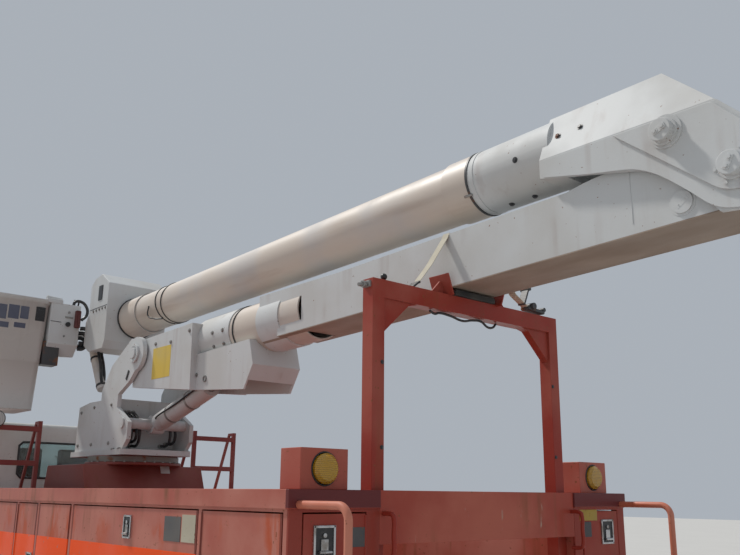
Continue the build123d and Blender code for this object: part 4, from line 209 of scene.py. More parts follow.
surround = bpy.data.worlds.new("surround")
surround.use_nodes = True
surround.node_tree.nodes["Background"].inputs["Color"].default_value = SURROUND_TONE
surround.node_tree.nodes["Background"].inputs["Strength"].default_value = SURROUND_STRENGTH
bpy.context.scene.world = surround
bpy.context.scene.view_settings.view_transform = "Standard"
key_data = bpy.data.lights.new("key_light", "SUN")
key_data.energy = KEY_STRENGTH
key_data.angle = KEY_WIDTH
key_data.color = KEY_WARMTH
key = bpy.data.objects.new("key_light", key_data)
key.matrix_world = Vector(KEY_FROM).to_track_quat("Z", "Y").to_matrix().to_4x4()
bpy.context.scene.collection.objects.link(key)

# Chassis: rails, axles, springs, engine block and bumper, all brush-painted black iron that
# has dulled, gathered road dust on its upper faces and rusted in patches.
RUST_TONE = (0.20, 0.075, 0.03)
DUST_TONE = (0.23, 0.20, 0.16)
MERGE_DISTANCE = 0.00005
FLAT_ANGLE = radians(0.8)


def smooth(piece, angle=35):
    """Smooth shading that keeps edges sharper than an angle."""
    pick(piece)
    bpy.ops.object.shade_smooth_by_angle(angle=radians(angle))
    return piece


def round_edges(piece, width, segments=2, angle=20):
    """Round off every edge sharper than an angle, and keep the flat faces between them flat."""
    pick(piece)
    edge = piece.modifiers.new("edge", "BEVEL")
    edge.width = width
    edge.segments = segments
    edge.limit_method = "ANGLE"
    edge.angle_limit = radians(angle)
    bpy.ops.object.modifier_apply(modifier=edge.name)
    smooth(piece)
    flat = piece.modifiers.new("flat", "WEIGHTED_NORMAL")
    flat.keep_sharp = True
    bpy.ops.object.modifier_apply(modifier=flat.name)
    return piece


def skin_of(node, width, segments=2):
    """A copy of a frame node's shape with clean faces and rounded edges, which stands for it."""
    piece = linked(f"{node}_skin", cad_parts[node].data.copy())
    piece.data.materials.clear()
    bpy.ops.object.mode_set(mode="EDIT")
    bpy.ops.mesh.select_all(action="SELECT")
    bpy.ops.mesh.remove_doubles(threshold=MERGE_DISTANCE)
    bpy.ops.mesh.dissolve_limited(angle_limit=FLAT_ANGLE)
    bpy.ops.object.mode_set(mode="OBJECT")
    round_edges(piece, width, segments)
    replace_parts(piece, node)
    return piece


def dress(piece, body, slot, finish):
    """Let a piece ride on its body and give it its finish; the slot is not used."""
    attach(piece, body)
    piece.data.materials.clear()
    piece.data.materials.append(finish)
    return piece


def coat(node, finish):
    """Give a frame node that is shown as it is a finish."""
    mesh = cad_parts[node].data
    mesh.materials.clear()
    mesh.materials.append(finish)


def iron_finish(name, paint, dust):
    """Old black paint over iron, with dust and blooming rust."""
    finish = start_finish(name, roughness=0.6)
    facing = add_node(finish, "ShaderNodeNewGeometry").outputs["Normal"]
    upward = add_node(finish, "ShaderNodeSeparateXYZ", {"Vector": facing}).outputs["Z"]
    settled = both(finish, step(finish, upward, 0.2, 0.95), step(finish, cloud(finish, 4.0), 0.35, 0.7))
    bloom = step(finish, cloud(finish, 9.0, 8.0), 0.56, 0.68)
    tone = over(finish, bloom, paint, RUST_TONE)
    tone = over(finish, both(finish, settled, cloud(finish, 2.0)), tone, dust)
    return apply_finish(finish, tone, rough=(bloom, 0.48, 0.85), height=cloud(finish, 70.0, 6.0),
                        depth=0.0006)


chassis_finish = iron_finish("chassis_iron", (0.018, 0.018, 0.019), DUST_TONE)
cast_finish = iron_finish("cast_iron", (0.055, 0.055, 0.058), DUST_TONE)
for node in ("chassis_frame", "front_axle", "rear_axle"):
    coat(node, chassis_finish)
cast_look = ("cast_iron", cast_finish)
coat("engine_block", cast_finish)
for side in ("left", "right"):
    coat(f"knuckle_{side}", cast_finish)
dress(skin_of("front_bumper", 0.012), "truck", "chassis_black", chassis_finish)

# Wheels: moulded rubber tyres with ribbed treads on dished steel discs, pressed and painted,
# held by a ring of nuts. The rear pair on each side turn as one.
WHEEL_CENTRE_HEIGHT = 0.50
REAR_AXLE = at(1.48)
FRONT_AXLE = at(7.10)
FRONT_TRACK = 1.010
DUAL_CENTRE = 0.914
DUAL_OFFSET = 0.157
TYRE_STEPS = 110
TYRE_SIPE_EVERY = 5
SIPE_DEPTH = 0.011
SHOULDER_WIDTHS = (0.070, 0.116)
SHOULDER_RADIUS = 0.488
SEAM_DISTANCE = 0.0002
NUT_RING = 0.131
WHEEL_NUTS = 10
FRONT_FACE = 1.094
REAR_FACE = 0.936
NUT_RADIUS = 0.015
# Half of the tyre's section as radius and distance from its middle, from bead to centre rib
TYRE_SECTION = (
    (0.2955, 0.094), (0.300, 0.103), (0.318, 0.112), (0.322, 0.1185), (0.330, 0.1185), (0.334, 0.1145),
    (0.360, 0.1255), (0.392, 0.1305), (0.425, 0.1285), (0.452, 0.1225), (0.458, 0.1245), (0.475, 0.1215),
    (0.487, 0.114), (0.494, 0.104), (0.497, 0.072), (0.486, 0.069), (0.486, 0.062), (0.4985, 0.059),
    (0.4995, 0.028), (0.487, 0.025), (0.487, 0.018), (0.4995, 0.015), (0.4995, 0.0))


def rubber_finish():
    """Road-worn black rubber, grey with dust in patches."""
    finish = start_finish("tyre_rubber", roughness=0.8)
    dusty = step(finish, cloud(finish, 7.0, 7.0), 0.4, 0.7)
    tone = over(finish, both(finish, dusty, 0.7), (0.016, 0.016, 0.017), (0.085, 0.078, 0.068))
    return apply_finish(finish, tone, rough=(dusty, 0.62, 0.92), height=cloud(finish, 160.0, 3.0),
                        depth=0.0005)


def painted(name, paint, faded, rust=0.3, streak=0.5, sheen=(0.30, 0.60)):
    """Sun-faded paint over steel: patches of fading, rain streaks and small blooms of rust."""
    finish = start_finish(name)
    shader_of(finish).inputs["Specular IOR Level"].default_value = 0.22
    fade = step(finish, cloud(finish, 1.7, 6.0), 0.40, 0.64)
    tone = over(finish, fade, paint, faded)
    runs = both(finish, step(finish, cloud(finish, 15.0, 5.0, stretch=(1, 1, 0.05)), 0.50, 0.74),
                step(finish, cloud(finish, 2.6, 4.0, shift=(3, 1, 0)), 0.42, 0.64))
    tone = over(finish, both(finish, runs, streak), tone, RUST_TONE)
    spots = step(finish, cloud(finish, 48.0, 9.0), 0.71 - 0.1 * rust, 0.75 - 0.1 * rust)
    tone = over(finish, both(finish, spots, 0.85), tone, RUST_TONE)
    return apply_finish(finish, tone, rough=(fade, *sheen), height=cloud(finish, 75.0, 4.0), depth=0.0003)


def stand(point, normal, twist=0.0):
    """Matrix that stands a shape made on Z = 0 at a point, its Z along a normal."""
    turned = Vector(normal).to_track_quat("Z", "Y").to_matrix().to_4x4()
    return Matrix.Translation(point) @ turned @ Matrix.Rotation(twist, 4, "Z")


def settle(piece):
    """Write an object's place and size into its mesh."""
    pick(piece)
    bpy.ops.object.transform_apply(location=True, rotation=True, scale=True)
    return piece


def set_on(piece, point, normal, twist=0.0):
    """Move a shape made on Z = 0 to a point on a face."""
    piece.matrix_world = stand(point, normal, twist)
    return settle(piece)


def joined(name, pieces):
    """Several pieces as one object."""
    bpy.ops.object.select_all(action="DESELECT")
    for piece in pieces:
        piece.select_set(True)
    bpy.context.view_layer.objects.active = pieces[0]
    bpy.ops.object.join()
    pieces[0].name = name
    return pieces[0]


def repeated(seed, places):
    """Copies of a piece, each with its own mesh, set by matrices and joined in its stead."""
    copies = []
    for place in places:
        copy = seed.copy()
        copy.data = seed.data.copy()
        bpy.context.scene.collection.objects.link(copy)
        copy.matrix_world = place @ seed.matrix_world
        copies.append(copy)
    name = seed.name
    bpy.data.objects.remove(seed)
    return settle(joined(name, copies))


def circle(radius, count):
    """Pairs of places spread evenly round a circle."""
    turns = [2 * pi * index / count for index in range(count)]
    return [(radius * cos(turned), radius * sin(turned)) for turned in turns]


def bar(name, start, end, radius, sides=24, width=0.0):
    """A round bar from one point to another, its ends rounded to a width."""
    along = Vector(end) - Vector(start)
    bpy.ops.mesh.primitive_cylinder_add(vertices=sides, radius=radius, depth=along.length)
    piece = bpy.context.object
    piece.name = name
    set_on(piece, (Vector(start) + Vector(end)) / 2, along)
    return round_edges(piece, width) if width else smooth(piece)


def block(name, centre, size, width=0.0, turned=(0, 0, 0)):
    """A box about a centre, its edges rounded to a width."""
    bpy.ops.mesh.primitive_cube_add(size=1, location=centre, rotation=turned)
    piece = bpy.context.object
    piece.name = name
    piece.scale = size
    settle(piece)
    return round_edges(piece, width) if width else piece


def bolt(radius):
    """A hexagon bolt head on its washer, standing on Z = 0."""
    washer = bar("washer", (0, 0, -0.002), (0, 0, radius * 0.25), radius * 1.5, 20)
    head = bar("bolt", (0, 0, radius * 0.2), (0, 0, radius * 0.95), radius, 6, radius * 0.09)
    return joined("bolt", [head, washer])


def bolts(name, radius, points, normal):
    """Bolt heads at several points of one face."""
    seed = bolt(radius)
    seed.name = name
    return repeated(seed, [stand(point, normal, 0.7 * index) for index, point in enumerate(points)])


def ribbed_tyre(name, middle, station_x):
    """A tyre spun from its section, its shoulder ribs cut by sipes."""
    points = [*TYRE_SECTION, *((radius, -side) for radius, side in reversed(TYRE_SECTION[:-1]))]
    section = bpy.data.meshes.new(name)
    section.from_pydata([(station_x, middle + side, WHEEL_CENTRE_HEIGHT + radius) for radius, side in points],
                        [(index, index + 1) for index in range(len(points) - 1)], [])
    tyre = linked(name, section)
    bpy.ops.object.mode_set(mode="EDIT")
    bpy.ops.mesh.select_all(action="SELECT")
    bpy.ops.mesh.spin(steps=TYRE_STEPS, angle=2 * pi, center=(station_x, middle, WHEEL_CENTRE_HEIGHT),
                      axis=(0, 1, 0))
    bpy.ops.mesh.select_all(action="SELECT")
    bpy.ops.mesh.remove_doubles(threshold=SEAM_DISTANCE)
    bpy.ops.mesh.normals_make_consistent(inside=False)
    bpy.ops.mesh.select_all(action="DESELECT")
    shape = bmesh.from_edit_mesh(tyre.data)
    hub_line = Vector((station_x, 0, WHEEL_CENTRE_HEIGHT))
    for face in shape.faces:
        spot = face.calc_center_median()
        arm = Vector((spot.x, 0, spot.z)) - hub_line
        turned = Vector((0, 1)).angle_signed(Vector((arm.x, arm.z)))
        turn_step = int(round(turned / (2 * pi) * TYRE_STEPS - 0.5))
        low, high = SHOULDER_WIDTHS
        shoulder = low < abs(spot.y - middle) < high and arm.length > SHOULDER_RADIUS
        face.select_set(shoulder and turn_step % TYRE_SIPE_EVERY == 0)
    bmesh.update_edit_mesh(tyre.data)
    bpy.ops.mesh.extrude_region_shrink_fatten(TRANSFORM_OT_shrink_fatten={"value": -SIPE_DEPTH})
    bpy.ops.object.mode_set(mode="OBJECT")
    return smooth(tyre, 38)


tyre_finish = rubber_finish()
wheel_finish = painted("wheel_paint", (0.50, 0.49, 0.46), (0.38, 0.36, 0.33), rust=0.7, streak=0.3)
zinc_finish = painted("zinc_bolts", (0.38, 0.37, 0.35), (0.26, 0.25, 0.24), rust=0.8, streak=0.5,
                      sheen=(0.35, 0.6))
shader_of(zinc_finish).inputs["Metallic"].default_value = 0.55
zinc_look = ("steel", zinc_finish)
for side, hand in SIDES:
    front = ribbed_tyre(f"tyre_front_{side}_tread", hand * FRONT_TRACK, FRONT_AXLE)
    pair = joined(f"tyres_rear_{side}_tread",
                  [ribbed_tyre(f"tyres_rear_{side}_tread", hand * DUAL_CENTRE + offset, REAR_AXLE)
                   for offset in (-DUAL_OFFSET, DUAL_OFFSET)])
    for tread, body, tyre, rim, axle_x, face_y in (
            (front, f"wheel_front_{side}", f"tyre_front_{side}", f"rim_front_{side}", FRONT_AXLE, FRONT_FACE),
            (pair, f"wheels_rear_{side}", f"tyres_rear_{side}", f"rims_rear_{side}", REAR_AXLE, REAR_FACE)):
        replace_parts(dress(tread, body, "tyre_rubber", tyre_finish), tyre)
        coat(rim, wheel_finish)
        nuts = [(axle_x + u, hand * face_y, WHEEL_CENTRE_HEIGHT + v) for u, v in circle(NUT_RING, WHEEL_NUTS)]
        dress(bolts(f"{body}_nuts", NUT_RADIUS, nuts, (0, hand, 0)), body, *zinc_look)

# Cab: pressed steel shell with rubber-glazed windows, two hinged doors, vinyl seats and a
# moulded steering wheel, painted white.
cab_finish = painted("cab_white", (0.66, 0.66, 0.64), (0.58, 0.57, 0.54), rust=0.1, streak=0.2,
                     sheen=(0.22, 0.42))
cab_look = ("white_paint", cab_finish)
black_finish = start_finish("black_plastic", roughness=0.5)
scuffs = step(black_finish, cloud(black_finish, 22.0, 7.0), 0.5, 0.68)
scuff_tone = over(black_finish, both(black_finish, scuffs, 0.6), (0.02, 0.02, 0.022), (0.09, 0.088, 0.084))
apply_finish(black_finish, scuff_tone, rough=(scuffs, 0.38, 0.7), height=cloud(black_finish, 220.0, 3.0),
             depth=0.0003)
black_look = ("black_plastic", black_finish)
vinyl_finish = start_finish("seat_vinyl", roughness=0.5)
creases = step(vinyl_finish, cloud(vinyl_finish, 14.0, 8.0), 0.45, 0.65)
apply_finish(vinyl_finish, over(vinyl_finish, creases, (0.075, 0.072, 0.07), (0.11, 0.105, 0.10)),
             rough=(creases, 0.4, 0.6), height=cloud(vinyl_finish, 260.0, 2.0), depth=0.0004)
glass_finish = start_finish("cab_glass", roughness=0.04)
glass_shader = shader_of(glass_finish)
glass_shader.inputs["Transmission Weight"].default_value = 0.92
glass_shader.inputs["IOR"].default_value = 1.45
film = step(glass_finish, cloud(glass_finish, 3.0, 6.0), 0.45, 0.75)
apply_finish(glass_finish, over(glass_finish, film, (0.62, 0.72, 0.70), (0.50, 0.56, 0.54)),
             rough=(film, 0.02, 0.16))
CAB_BELT = 1.61
CAB_ROOF = 2.278
CAB_SIDE = (0.990, 0.900)
CAB_NOSE = (at(6.60), at(6.23))
CAB_BACK = (at(5.35), at(5.39))
DOOR_GLASS = ((5.64, 1.66), (6.30, 1.66), (6.11, 2.105), (5.64, 2.105))
SCREEN_CORNERS = ((0.84, 1.69), (-0.84, 1.69), (-0.80, 2.15), (0.80, 2.15))
REAR_GLASS = ((0.53, 1.767), (-0.53, 1.767), (-0.53, 2.097), (0.53, 2.097))
GASKET_RADIUS = 0.011
GASKET_EASE = 0.035
GASKET_PROUD = 0.002
WIPER_FOOT = (0.16, 1.66)
WIPER_MIDDLE = (0.42, 1.86)
WIPER_RUN = (-0.088, -0.22, 0.16)


def cab_at(measure, height):
    """A cab measure at a height, from its values at the belt line and at the roof."""
    return measure[0] + (measure[1] - measure[0]) * (height - CAB_BELT) / (CAB_ROOF - CAB_BELT)


def tube(name, points, radius, closed=False, corners="AUTO"):
    """A hose, bent bar or moulding along a line through points."""
    data = bpy.data.curves.new(name, "CURVE")
    data.dimensions = "3D"
    data.bevel_depth = radius
    data.bevel_resolution = 3
    data.use_fill_caps = True
    line = data.splines.new("BEZIER")
    line.use_cyclic_u = closed
    line.bezier_points.add(len(points) - 1)
    for knot, point in zip(line.bezier_points, points):
        knot.co = point
        knot.handle_left_type = knot.handle_right_type = corners
    linked(name, data)
    bpy.ops.object.convert(target="MESH")
    return smooth(bpy.context.object, 60)


def gasket(name, corners):
    """Rubber glazing strip round a window, its corners eased."""
    points = []
    for index, corner in enumerate(corners):
        here = Vector(corner)
        for beside in (corners[index - 1], corners[(index + 1) % len(corners)]):
            points.append(here + (Vector(beside) - here).normalized() * GASKET_EASE)
    return tube(name, points, GASKET_RADIUS, closed=True, corners="VECTOR")


dress(skin_of("cab_shell", 0.012, 3), "truck", *cab_look)
coat("steering_wheel", black_finish)
coat("cab_glass", glass_finish)
screen = [(cab_at(CAB_NOSE, z) + GASKET_PROUD, y, z) for y, z in SCREEN_CORNERS]
dress(gasket("windscreen_gasket", screen), "truck", *black_look)
back = [(cab_at(CAB_BACK, z) - GASKET_PROUD, y, z) for y, z in REAR_GLASS]
dress(gasket("rear_window_gasket", back), "truck", *black_look)
for side, hand in SIDES:
    door = f"cab_door_{side}"
    dress(skin_of(door, 0.006), door, *cab_look)
    glazing = [(at(station), hand * (cab_at(CAB_SIDE, z) + GASKET_PROUD), z) for station, z in DOOR_GLASS]
    dress(gasket(f"door_gasket_{side}", glazing), door, *black_look)
    pull = joined(f"door_pull_{side}", [
        block(f"door_pull_{side}", (at(5.69), hand * 0.993, 1.50), (0.15, 0.006, 0.045), 0.002),
        block("grip", (at(5.69), hand * 1.006, 1.503), (0.125, 0.016, 0.022), 0.006)])
    dress(pull, door, *zinc_look)
    # Wiper: a pivot at the screen's foot, its arm and a blade held just off the glass
    (foot_y, foot_z), (middle_y, middle_z) = WIPER_FOOT, WIPER_MIDDLE
    pivot = Vector((cab_at(CAB_NOSE, foot_z) + 0.010, hand * foot_y, foot_z))
    blade_mid = Vector((cab_at(CAB_NOSE, middle_z) + 0.016, hand * middle_y, middle_z))
    blade_run = Vector((WIPER_RUN[0], hand * WIPER_RUN[1], WIPER_RUN[2]))
    wiper = joined(f"wiper_{side}", [
        bar(f"wiper_{side}", pivot - Vector((0.02, 0, 0)), pivot + Vector((0.012, 0, 0)), 0.016, 20, 0.003),
        bar("arm", pivot + Vector((0.006, 0, 0)), blade_mid + Vector((0.006, 0, 0)), 0.006, 10),
        bar("blade", blade_mid - blade_run, blade_mid + blade_run, 0.007, 8)])
    dress(wiper, "truck", *black_look)
cushions = dress(skin_of("seats", 0.022, 4), "truck", "seat_vinyl", vinyl_finish)

# Hood: one moulded tilting shell with its fenders, a grille of upright bars and round
# lamps in bright rims; the fuel tanks below the doors are welded aluminium drums.
HEADLAMP_Y = 0.565
HEADLAMP_Z = 1.080
HEADLAMP_RADIUS = 0.086
HEADLAMP_RIM = (0.096, 0.009)


def round_rim(name, radius, thickness, centre, facing, sides=48):
    """A bright or dark rim of round section about a centre."""
    bpy.ops.mesh.primitive_torus_add(major_segments=sides, minor_segments=10, major_radius=radius,
                                     minor_radius=thickness)
    piece = set_on(bpy.context.object, centre, facing)
    piece.name = name
    return smooth(piece)


dress(skin_of("hood", 0.012, 3), "hood", *cab_look)
lens_finish = start_finish("lamp_glass", roughness=0.12)
lens_flutes = waves(lens_finish, 22.0, "Y")
apply_finish(lens_finish, over(lens_finish, lens_flutes, (0.52, 0.52, 0.50), (0.36, 0.36, 0.35)),
             height=lens_flutes, depth=0.0015)
hood_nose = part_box("hood")[1].x
for side, hand in SIDES:
    inner, outer = ((hood_nose - depth, hand * HEADLAMP_Y, HEADLAMP_Z) for depth in (0.030, 0.006))
    dress(bar(f"headlamp_{side}", inner, outer, HEADLAMP_RADIUS, 48, 0.010), "hood", "glass", lens_finish)
    dress(round_rim(f"headlamp_rim_{side}", *HEADLAMP_RIM, outer, (1, 0, 0), 56), "hood", *zinc_look)
tank_finish = painted("tank_metal", (0.52, 0.52, 0.53), (0.40, 0.40, 0.40), rust=0.2, streak=0.3)
shader_of(tank_finish).inputs["Metallic"].default_value = 0.8
dress(skin_of("side_tanks", 0.006), "truck", "steel", tank_finish)

# Side packs: folded sheet-steel lockers with a thick rounded cap along the top, faded from
# red to salmon, and drop or side-hung doors with a signal-red stripe.
STRIPE_TOP = 1.369
STRIPE_LOW = 1.180
EDGING_LOW = 1.157
PACK_PAINT = (0.40, 0.095, 0.065)
PACK_FADED = (0.50, 0.19, 0.145)
REAR_WALL_SHADE_TONE = (0.27, 0.035, 0.022)
STRIPE_TONE = (0.90, 0.085, 0.006)
EDGING_TONE = (0.66, 0.60, 0.50)
RAIL_TONE = (0.10, 0.022, 0.026)
SCORCH_TONE = (0.46, 0.075, 0.022)
SEAM_SHADE_TONE = (0.15, 0.032, 0.024)
SEAM_SHADE_WIDTH = 0.014
DOOR_FACE = 1.220
PLATE_FACE = DOOR_FACE + 0.001
LATCH_HEIGHT = 1.468
HIDDEN_LATCH_HEIGHT = 1.20
# The doors of a side pack from rear to front, each with the station of its latch
LATCH_STATIONS = {"rear": 0.105, "wheel": 1.472, "middle": 2.330, "narrow": 2.880, "front": 4.18}


def band(finish, axis, low, high):
    """Share that is 1 where a coordinate lies between two values."""
    value = add_node(finish, "ShaderNodeSeparateXYZ", {"Vector": place_of(finish)}).outputs[axis]
    return add_node(finish, "ShaderNodeMath", {0: value, 1: (low + high) / 2, 2: (high - low) / 2},
                    operation="COMPARE").outputs[0]


def tone_of(finish):
    """The socket that now feeds a finish's base colour."""
    return shader_of(finish).inputs["Base Color"].links[0].from_socket


pack_finish = painted("pack_salmon", PACK_PAINT, PACK_FADED, rust=0.55, streak=0.8)
door_finish = painted("pack_door", PACK_PAINT, PACK_FADED, rust=0.4, streak=0.8)
# The rear wall is painted a darker red: partly paint that has faded less, partly painted shade on the
# rear-facing wall.
rear_wall = band(pack_finish, "X", at(-0.2), at(0.012))
rear_shaded_tone = over(pack_finish, both(pack_finish, rear_wall, 0.85), tone_of(pack_finish), REAR_WALL_SHADE_TONE)
cap_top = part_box("side_pack_left")[1].z
rail_share = both(pack_finish, rear_wall, band(pack_finish, "Z", cap_top - 0.075, cap_top + 0.01))
apply_finish(pack_finish, over(pack_finish, both(pack_finish, rail_share, 0.8), rear_shaded_tone, RAIL_TONE))
striped_finish = painted("pack_striped", PACK_PAINT, PACK_FADED, rust=0.4, streak=0.7)
for worn in (door_finish, striped_finish):
    patches = step(worn, cloud(worn, 3.2, 5.0, shift=(7, 2, 1)), 0.50, 0.66)
    grain = step(worn, cloud(worn, 24.0, 8.0, stretch=(1, 1, 0.25)), 0.36, 0.6)
    tone = over(worn, both(worn, both(worn, patches, grain), 0.85), tone_of(worn), SCORCH_TONE)
    # Painted shade: a dark band along each door's rear and front edge stands in for the shade in the gaps
    # between the doors.
    for name in LATCH_STATIONS:
        rear_edge, front_edge = (corner.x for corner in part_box(f"{name}_door_left"))
        for low, high in ((rear_edge, rear_edge + SEAM_SHADE_WIDTH), (front_edge - SEAM_SHADE_WIDTH, front_edge)):
            tone = over(worn, both(worn, band(worn, "X", low, high), 0.8), tone, SEAM_SHADE_TONE)
    apply_finish(worn, tone)
wear = step(striped_finish, cloud(striped_finish, 26.0, 8.0), 0.66, 0.70)
worn_stripe = over(striped_finish, wear, STRIPE_TONE, PACK_FADED)
edging = band(striped_finish, "Z", EDGING_LOW, STRIPE_LOW)
lined = over(striped_finish, edging, tone_of(striped_finish), EDGING_TONE)
stripe = band(striped_finish, "Z", STRIPE_LOW, STRIPE_TOP)
apply_finish(striped_finish, over(striped_finish, stripe, lined, worn_stripe))
red_finish = painted("rest_red", (0.30, 0.036, 0.022), (0.36, 0.085, 0.06), rust=0.4, streak=0.4)
rail_finish = painted("rail_orange", (0.52, 0.13, 0.07), (0.58, 0.22, 0.15), rust=0.4, streak=0.3)
plate_grey = painted("plate_grey", (0.075, 0.075, 0.08), (0.15, 0.14, 0.13), rust=0.3, streak=0.3)
plate_cream = painted("plate_cream", (0.56, 0.52, 0.40), (0.44, 0.39, 0.30), rust=0.5, streak=0.5)
plate_yellow = painted("plate_yellow", (0.40, 0.27, 0.05), (0.34, 0.25, 0.10), rust=0.3, streak=0.4)
steel_finish = start_finish("bare_steel", roughness=0.3, metallic=0.9)
tarnish = step(steel_finish, cloud(steel_finish, 18.0, 7.0), 0.45, 0.7)
apply_finish(steel_finish, over(steel_finish, tarnish, (0.52, 0.52, 0.53), (0.30, 0.27, 0.24)),
             rough=(tarnish, 0.18, 0.5))


def tee_latch(name, broad, tall):
    """Paddle latch standing on Z = 0: bright rim round a dark dish, folding T handle and key barrel."""
    grip = -tall * 0.30
    upright, level = (broad * 0.10, tall, 0.010), (broad, tall * 0.08, 0.010)
    parts = [block("rim", (end * broad * 0.46, 0, 0.003), upright, 0.002) for end in (1, -1)]
    parts += [block("rim", (0, end * tall * 0.46, 0.003), level, 0.002) for end in (1, -1)]
    parts += [bar("key", (0, tall * 0.20, 0.002), (0, tall * 0.20, 0.010), 0.010, 20, 0.002),
              block("paddle", (0, -tall * 0.12, 0.006), (broad * 0.34, tall * 0.42, 0.006), 0.003),
              bar("tee", (-broad * 0.28, grip, 0.014), (broad * 0.28, grip, 0.014), 0.007, 16, 0.002),
              bar("tee_stem", (0, grip, 0.002), (0, grip, 0.014), 0.007, 16)]
    dish = block(f"{name}_dish", (0, 0, 0.001), (broad * 0.86, tall * 0.88, 0.004), 0.001)
    return joined(name, parts), dish


def add_latch(name, door, size, point, normal, twist=0.0):
    """A latch set on a door's face, its metal and its dark dish as two pieces."""
    for part, look in zip(tee_latch(name, *size), (("steel", steel_finish), black_look)):
        dress(set_on(part, point, normal, twist), door, *look)


for side, hand in SIDES:
    dress(skin_of(f"side_pack_{side}", 0.008, 3), "truck", "orange_paint", pack_finish)
    for name, station in LATCH_STATIONS.items():
        door = f"{name}_door_{side}"
        dress(skin_of(door, 0.004), door, "orange_paint", door_finish if name == "rear" else striped_finish)
        height = LATCH_HEIGHT if name in ("wheel", "front") else HIDDEN_LATCH_HEIGHT
        add_latch(f"{name}_latch_{side}", door, (0.088, 0.120), (at(station), hand * DOOR_FACE, height),
                  (0, hand, 0), 0.0 if hand > 0 else pi)
    door = f"tail_door_{side}"
    dress(skin_of(door, 0.004), door, "orange_paint", red_finish)
    add_latch(f"tail_latch_{side}", door, (0.115, 0.135), (at(0.0), hand * 1.035, 1.452), (-1, 0, 0))
    dress(block(f"tail_plate_{side}", (at(-0.001), hand * 0.845, 1.468), (0.003, 0.075, 0.082), 0.001),
          door, "steel", plate_grey)
# Blank plates, each with its door, place, size and finish
PLATES = (
    ("capacity_plate", "wheel_door_left", (at(0.975), PLATE_FACE, 1.474), (0.165, 0.003, 0.118), plate_grey),
    ("warning_plate", "tail_door_right", (at(-0.001), -0.860, 1.545), (0.003, 0.165, 0.060), plate_yellow),
    ("notice_plate", "wheel_door_left", (at(0.815), PLATE_FACE, 1.480), (0.130, 0.003, 0.128), plate_cream))
for name, door, place, size, finish in PLATES:
    dress(block(name, place, size, 0.001), door, "steel", finish)
dress(skin_of("lamp_boxes", 0.010, 3), "truck", "orange_paint", pack_finish)
coat("grab_rails", rail_finish)
amber_finish = start_finish("amber_lens", roughness=0.25)
shader_of(amber_finish).inputs["Coat Weight"].default_value = 0.5
flutes = waves(amber_finish, 38.0, "Z")
apply_finish(amber_finish, over(amber_finish, flutes, (0.56, 0.31, 0.02), (0.36, 0.19, 0.012)), height=flutes,
             depth=0.002)
coat("rear_lenses", amber_finish)
bezel_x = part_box("rear_lenses")[1].x - 0.012
for side, hand in SIDES:
    bezel = round_rim(f"lens_bezel_{side}", 0.071, 0.004, (bezel_x, hand * 1.0, 1.754), (-1, 0, 0))
    dress(bezel, "truck", *black_look)

# Deck and tail panel: tread plate between the packs and a scraped sheet across the rear,
# with a bent grab handle welded at each end of the sheet.
HANDLE_RADIUS = 0.011
HANDLE_REACH = 0.07
HANDLE_TOP = 1.565
HANDLE_FOOT = 1.375
HANDLE_Y = 0.70
HANDLE_EASE = 0.022


def bent_handle(name, top, foot):
    """A round bar from the sheet out, down and back to the sheet."""
    top, foot, out = Vector(top), Vector(foot), Vector((-HANDLE_REACH, 0, 0))
    ease = (foot - top).normalized() * HANDLE_EASE
    half = [top, top + out * 0.55, top + out * 0.9 + ease * 0.3, top + out + ease]
    return tube(name, [*half, (top + foot) / 2 + out, foot + out - ease, foot + out * 0.9 - ease * 0.3,
                       foot + out * 0.55, foot], HANDLE_RADIUS)


deck_finish = painted("deck_paint", (0.36, 0.062, 0.040), (0.46, 0.125, 0.085), rust=0.2, streak=0.5)
scrapes = step(deck_finish, cloud(deck_finish, 11.0, 8.0, stretch=(1, 1.4, 0.5)), 0.66, 0.72)
apply_finish(deck_finish, over(deck_finish, scrapes, tone_of(deck_finish), (0.42, 0.30, 0.24)))
dress(skin_of("deck", 0.004), "truck", "orange_paint", deck_finish)
tail_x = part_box("deck")[0].x
for side, hand in SIDES:
    top, foot = ((tail_x, hand * HANDLE_Y, height) for height in (HANDLE_TOP, HANDLE_FOOT))
    dress(bent_handle(f"tail_handle_{side}", top, foot), "truck", "orange_paint", red_finish)

# Boom rest: two square posts and a crossbeam with flared flaps that guide the boom on to a
# rubber pad, welded up and painted dark red, with a folded gusset bolted in each corner.
REST_X = at(0.095)
REST_TOP = 2.669
POST_Y = 0.662
KNOB_RADIUS = 0.017
KNOB_Y = 0.62
CABLE_RADIUS = 0.0065
STRAP_WIDTH = 0.046
STRAP_THICKNESS = 0.003
STRAP_CLEARANCE = 0.004


def touch(piece, start, heading):
    """Where a ray first meets a piece, and the surface's normal there."""
    bpy.context.view_layer.update()
    _, point, normal, _ = piece.ray_cast(Vector(start), Vector(heading))
    return point, normal


def seen(piece, target):
    """Where the line from the camera's eye to a place first meets a piece."""
    eye = Vector((at(EYE_STATION), EYE_SIDE, EYE_HEIGHT))
    return touch(piece, eye, (Vector(target) - eye).normalized())


rest = dress(skin_of("boom_rest", 0.006), "truck", "orange_paint", red_finish)
dress(skin_of("cradle_pad", 0.006), "truck", "pad_rubber", tyre_finish)
stem = bar("rest_knob", (REST_X, KNOB_Y, REST_TOP - 0.002), (REST_X, KNOB_Y, REST_TOP + 0.018), 0.008, 16)
bpy.ops.mesh.primitive_uv_sphere_add(segments=20, ring_count=12, radius=KNOB_RADIUS,
                                     location=(REST_X, KNOB_Y, REST_TOP + 0.026))
knob = joined("rest_knob", [smooth(settle(bpy.context.object)), stem])
dress(knob, "truck", *black_look)
fitting = joined("rest_fitting", [
    block("rest_fitting", (REST_X, 0.712, 2.640), (0.05, 0.05, 0.034), 0.006),
    bar("rest_fitting_stub", (REST_X, 0.735, 2.640), (REST_X, 0.785, 2.628), 0.010, 16, 0.002),
    bar("rest_fitting_nut", (REST_X, 0.745, 2.637), (REST_X, 0.762, 2.633), 0.019, 6, 0.002)])
dress(fitting, "truck", *zinc_look)
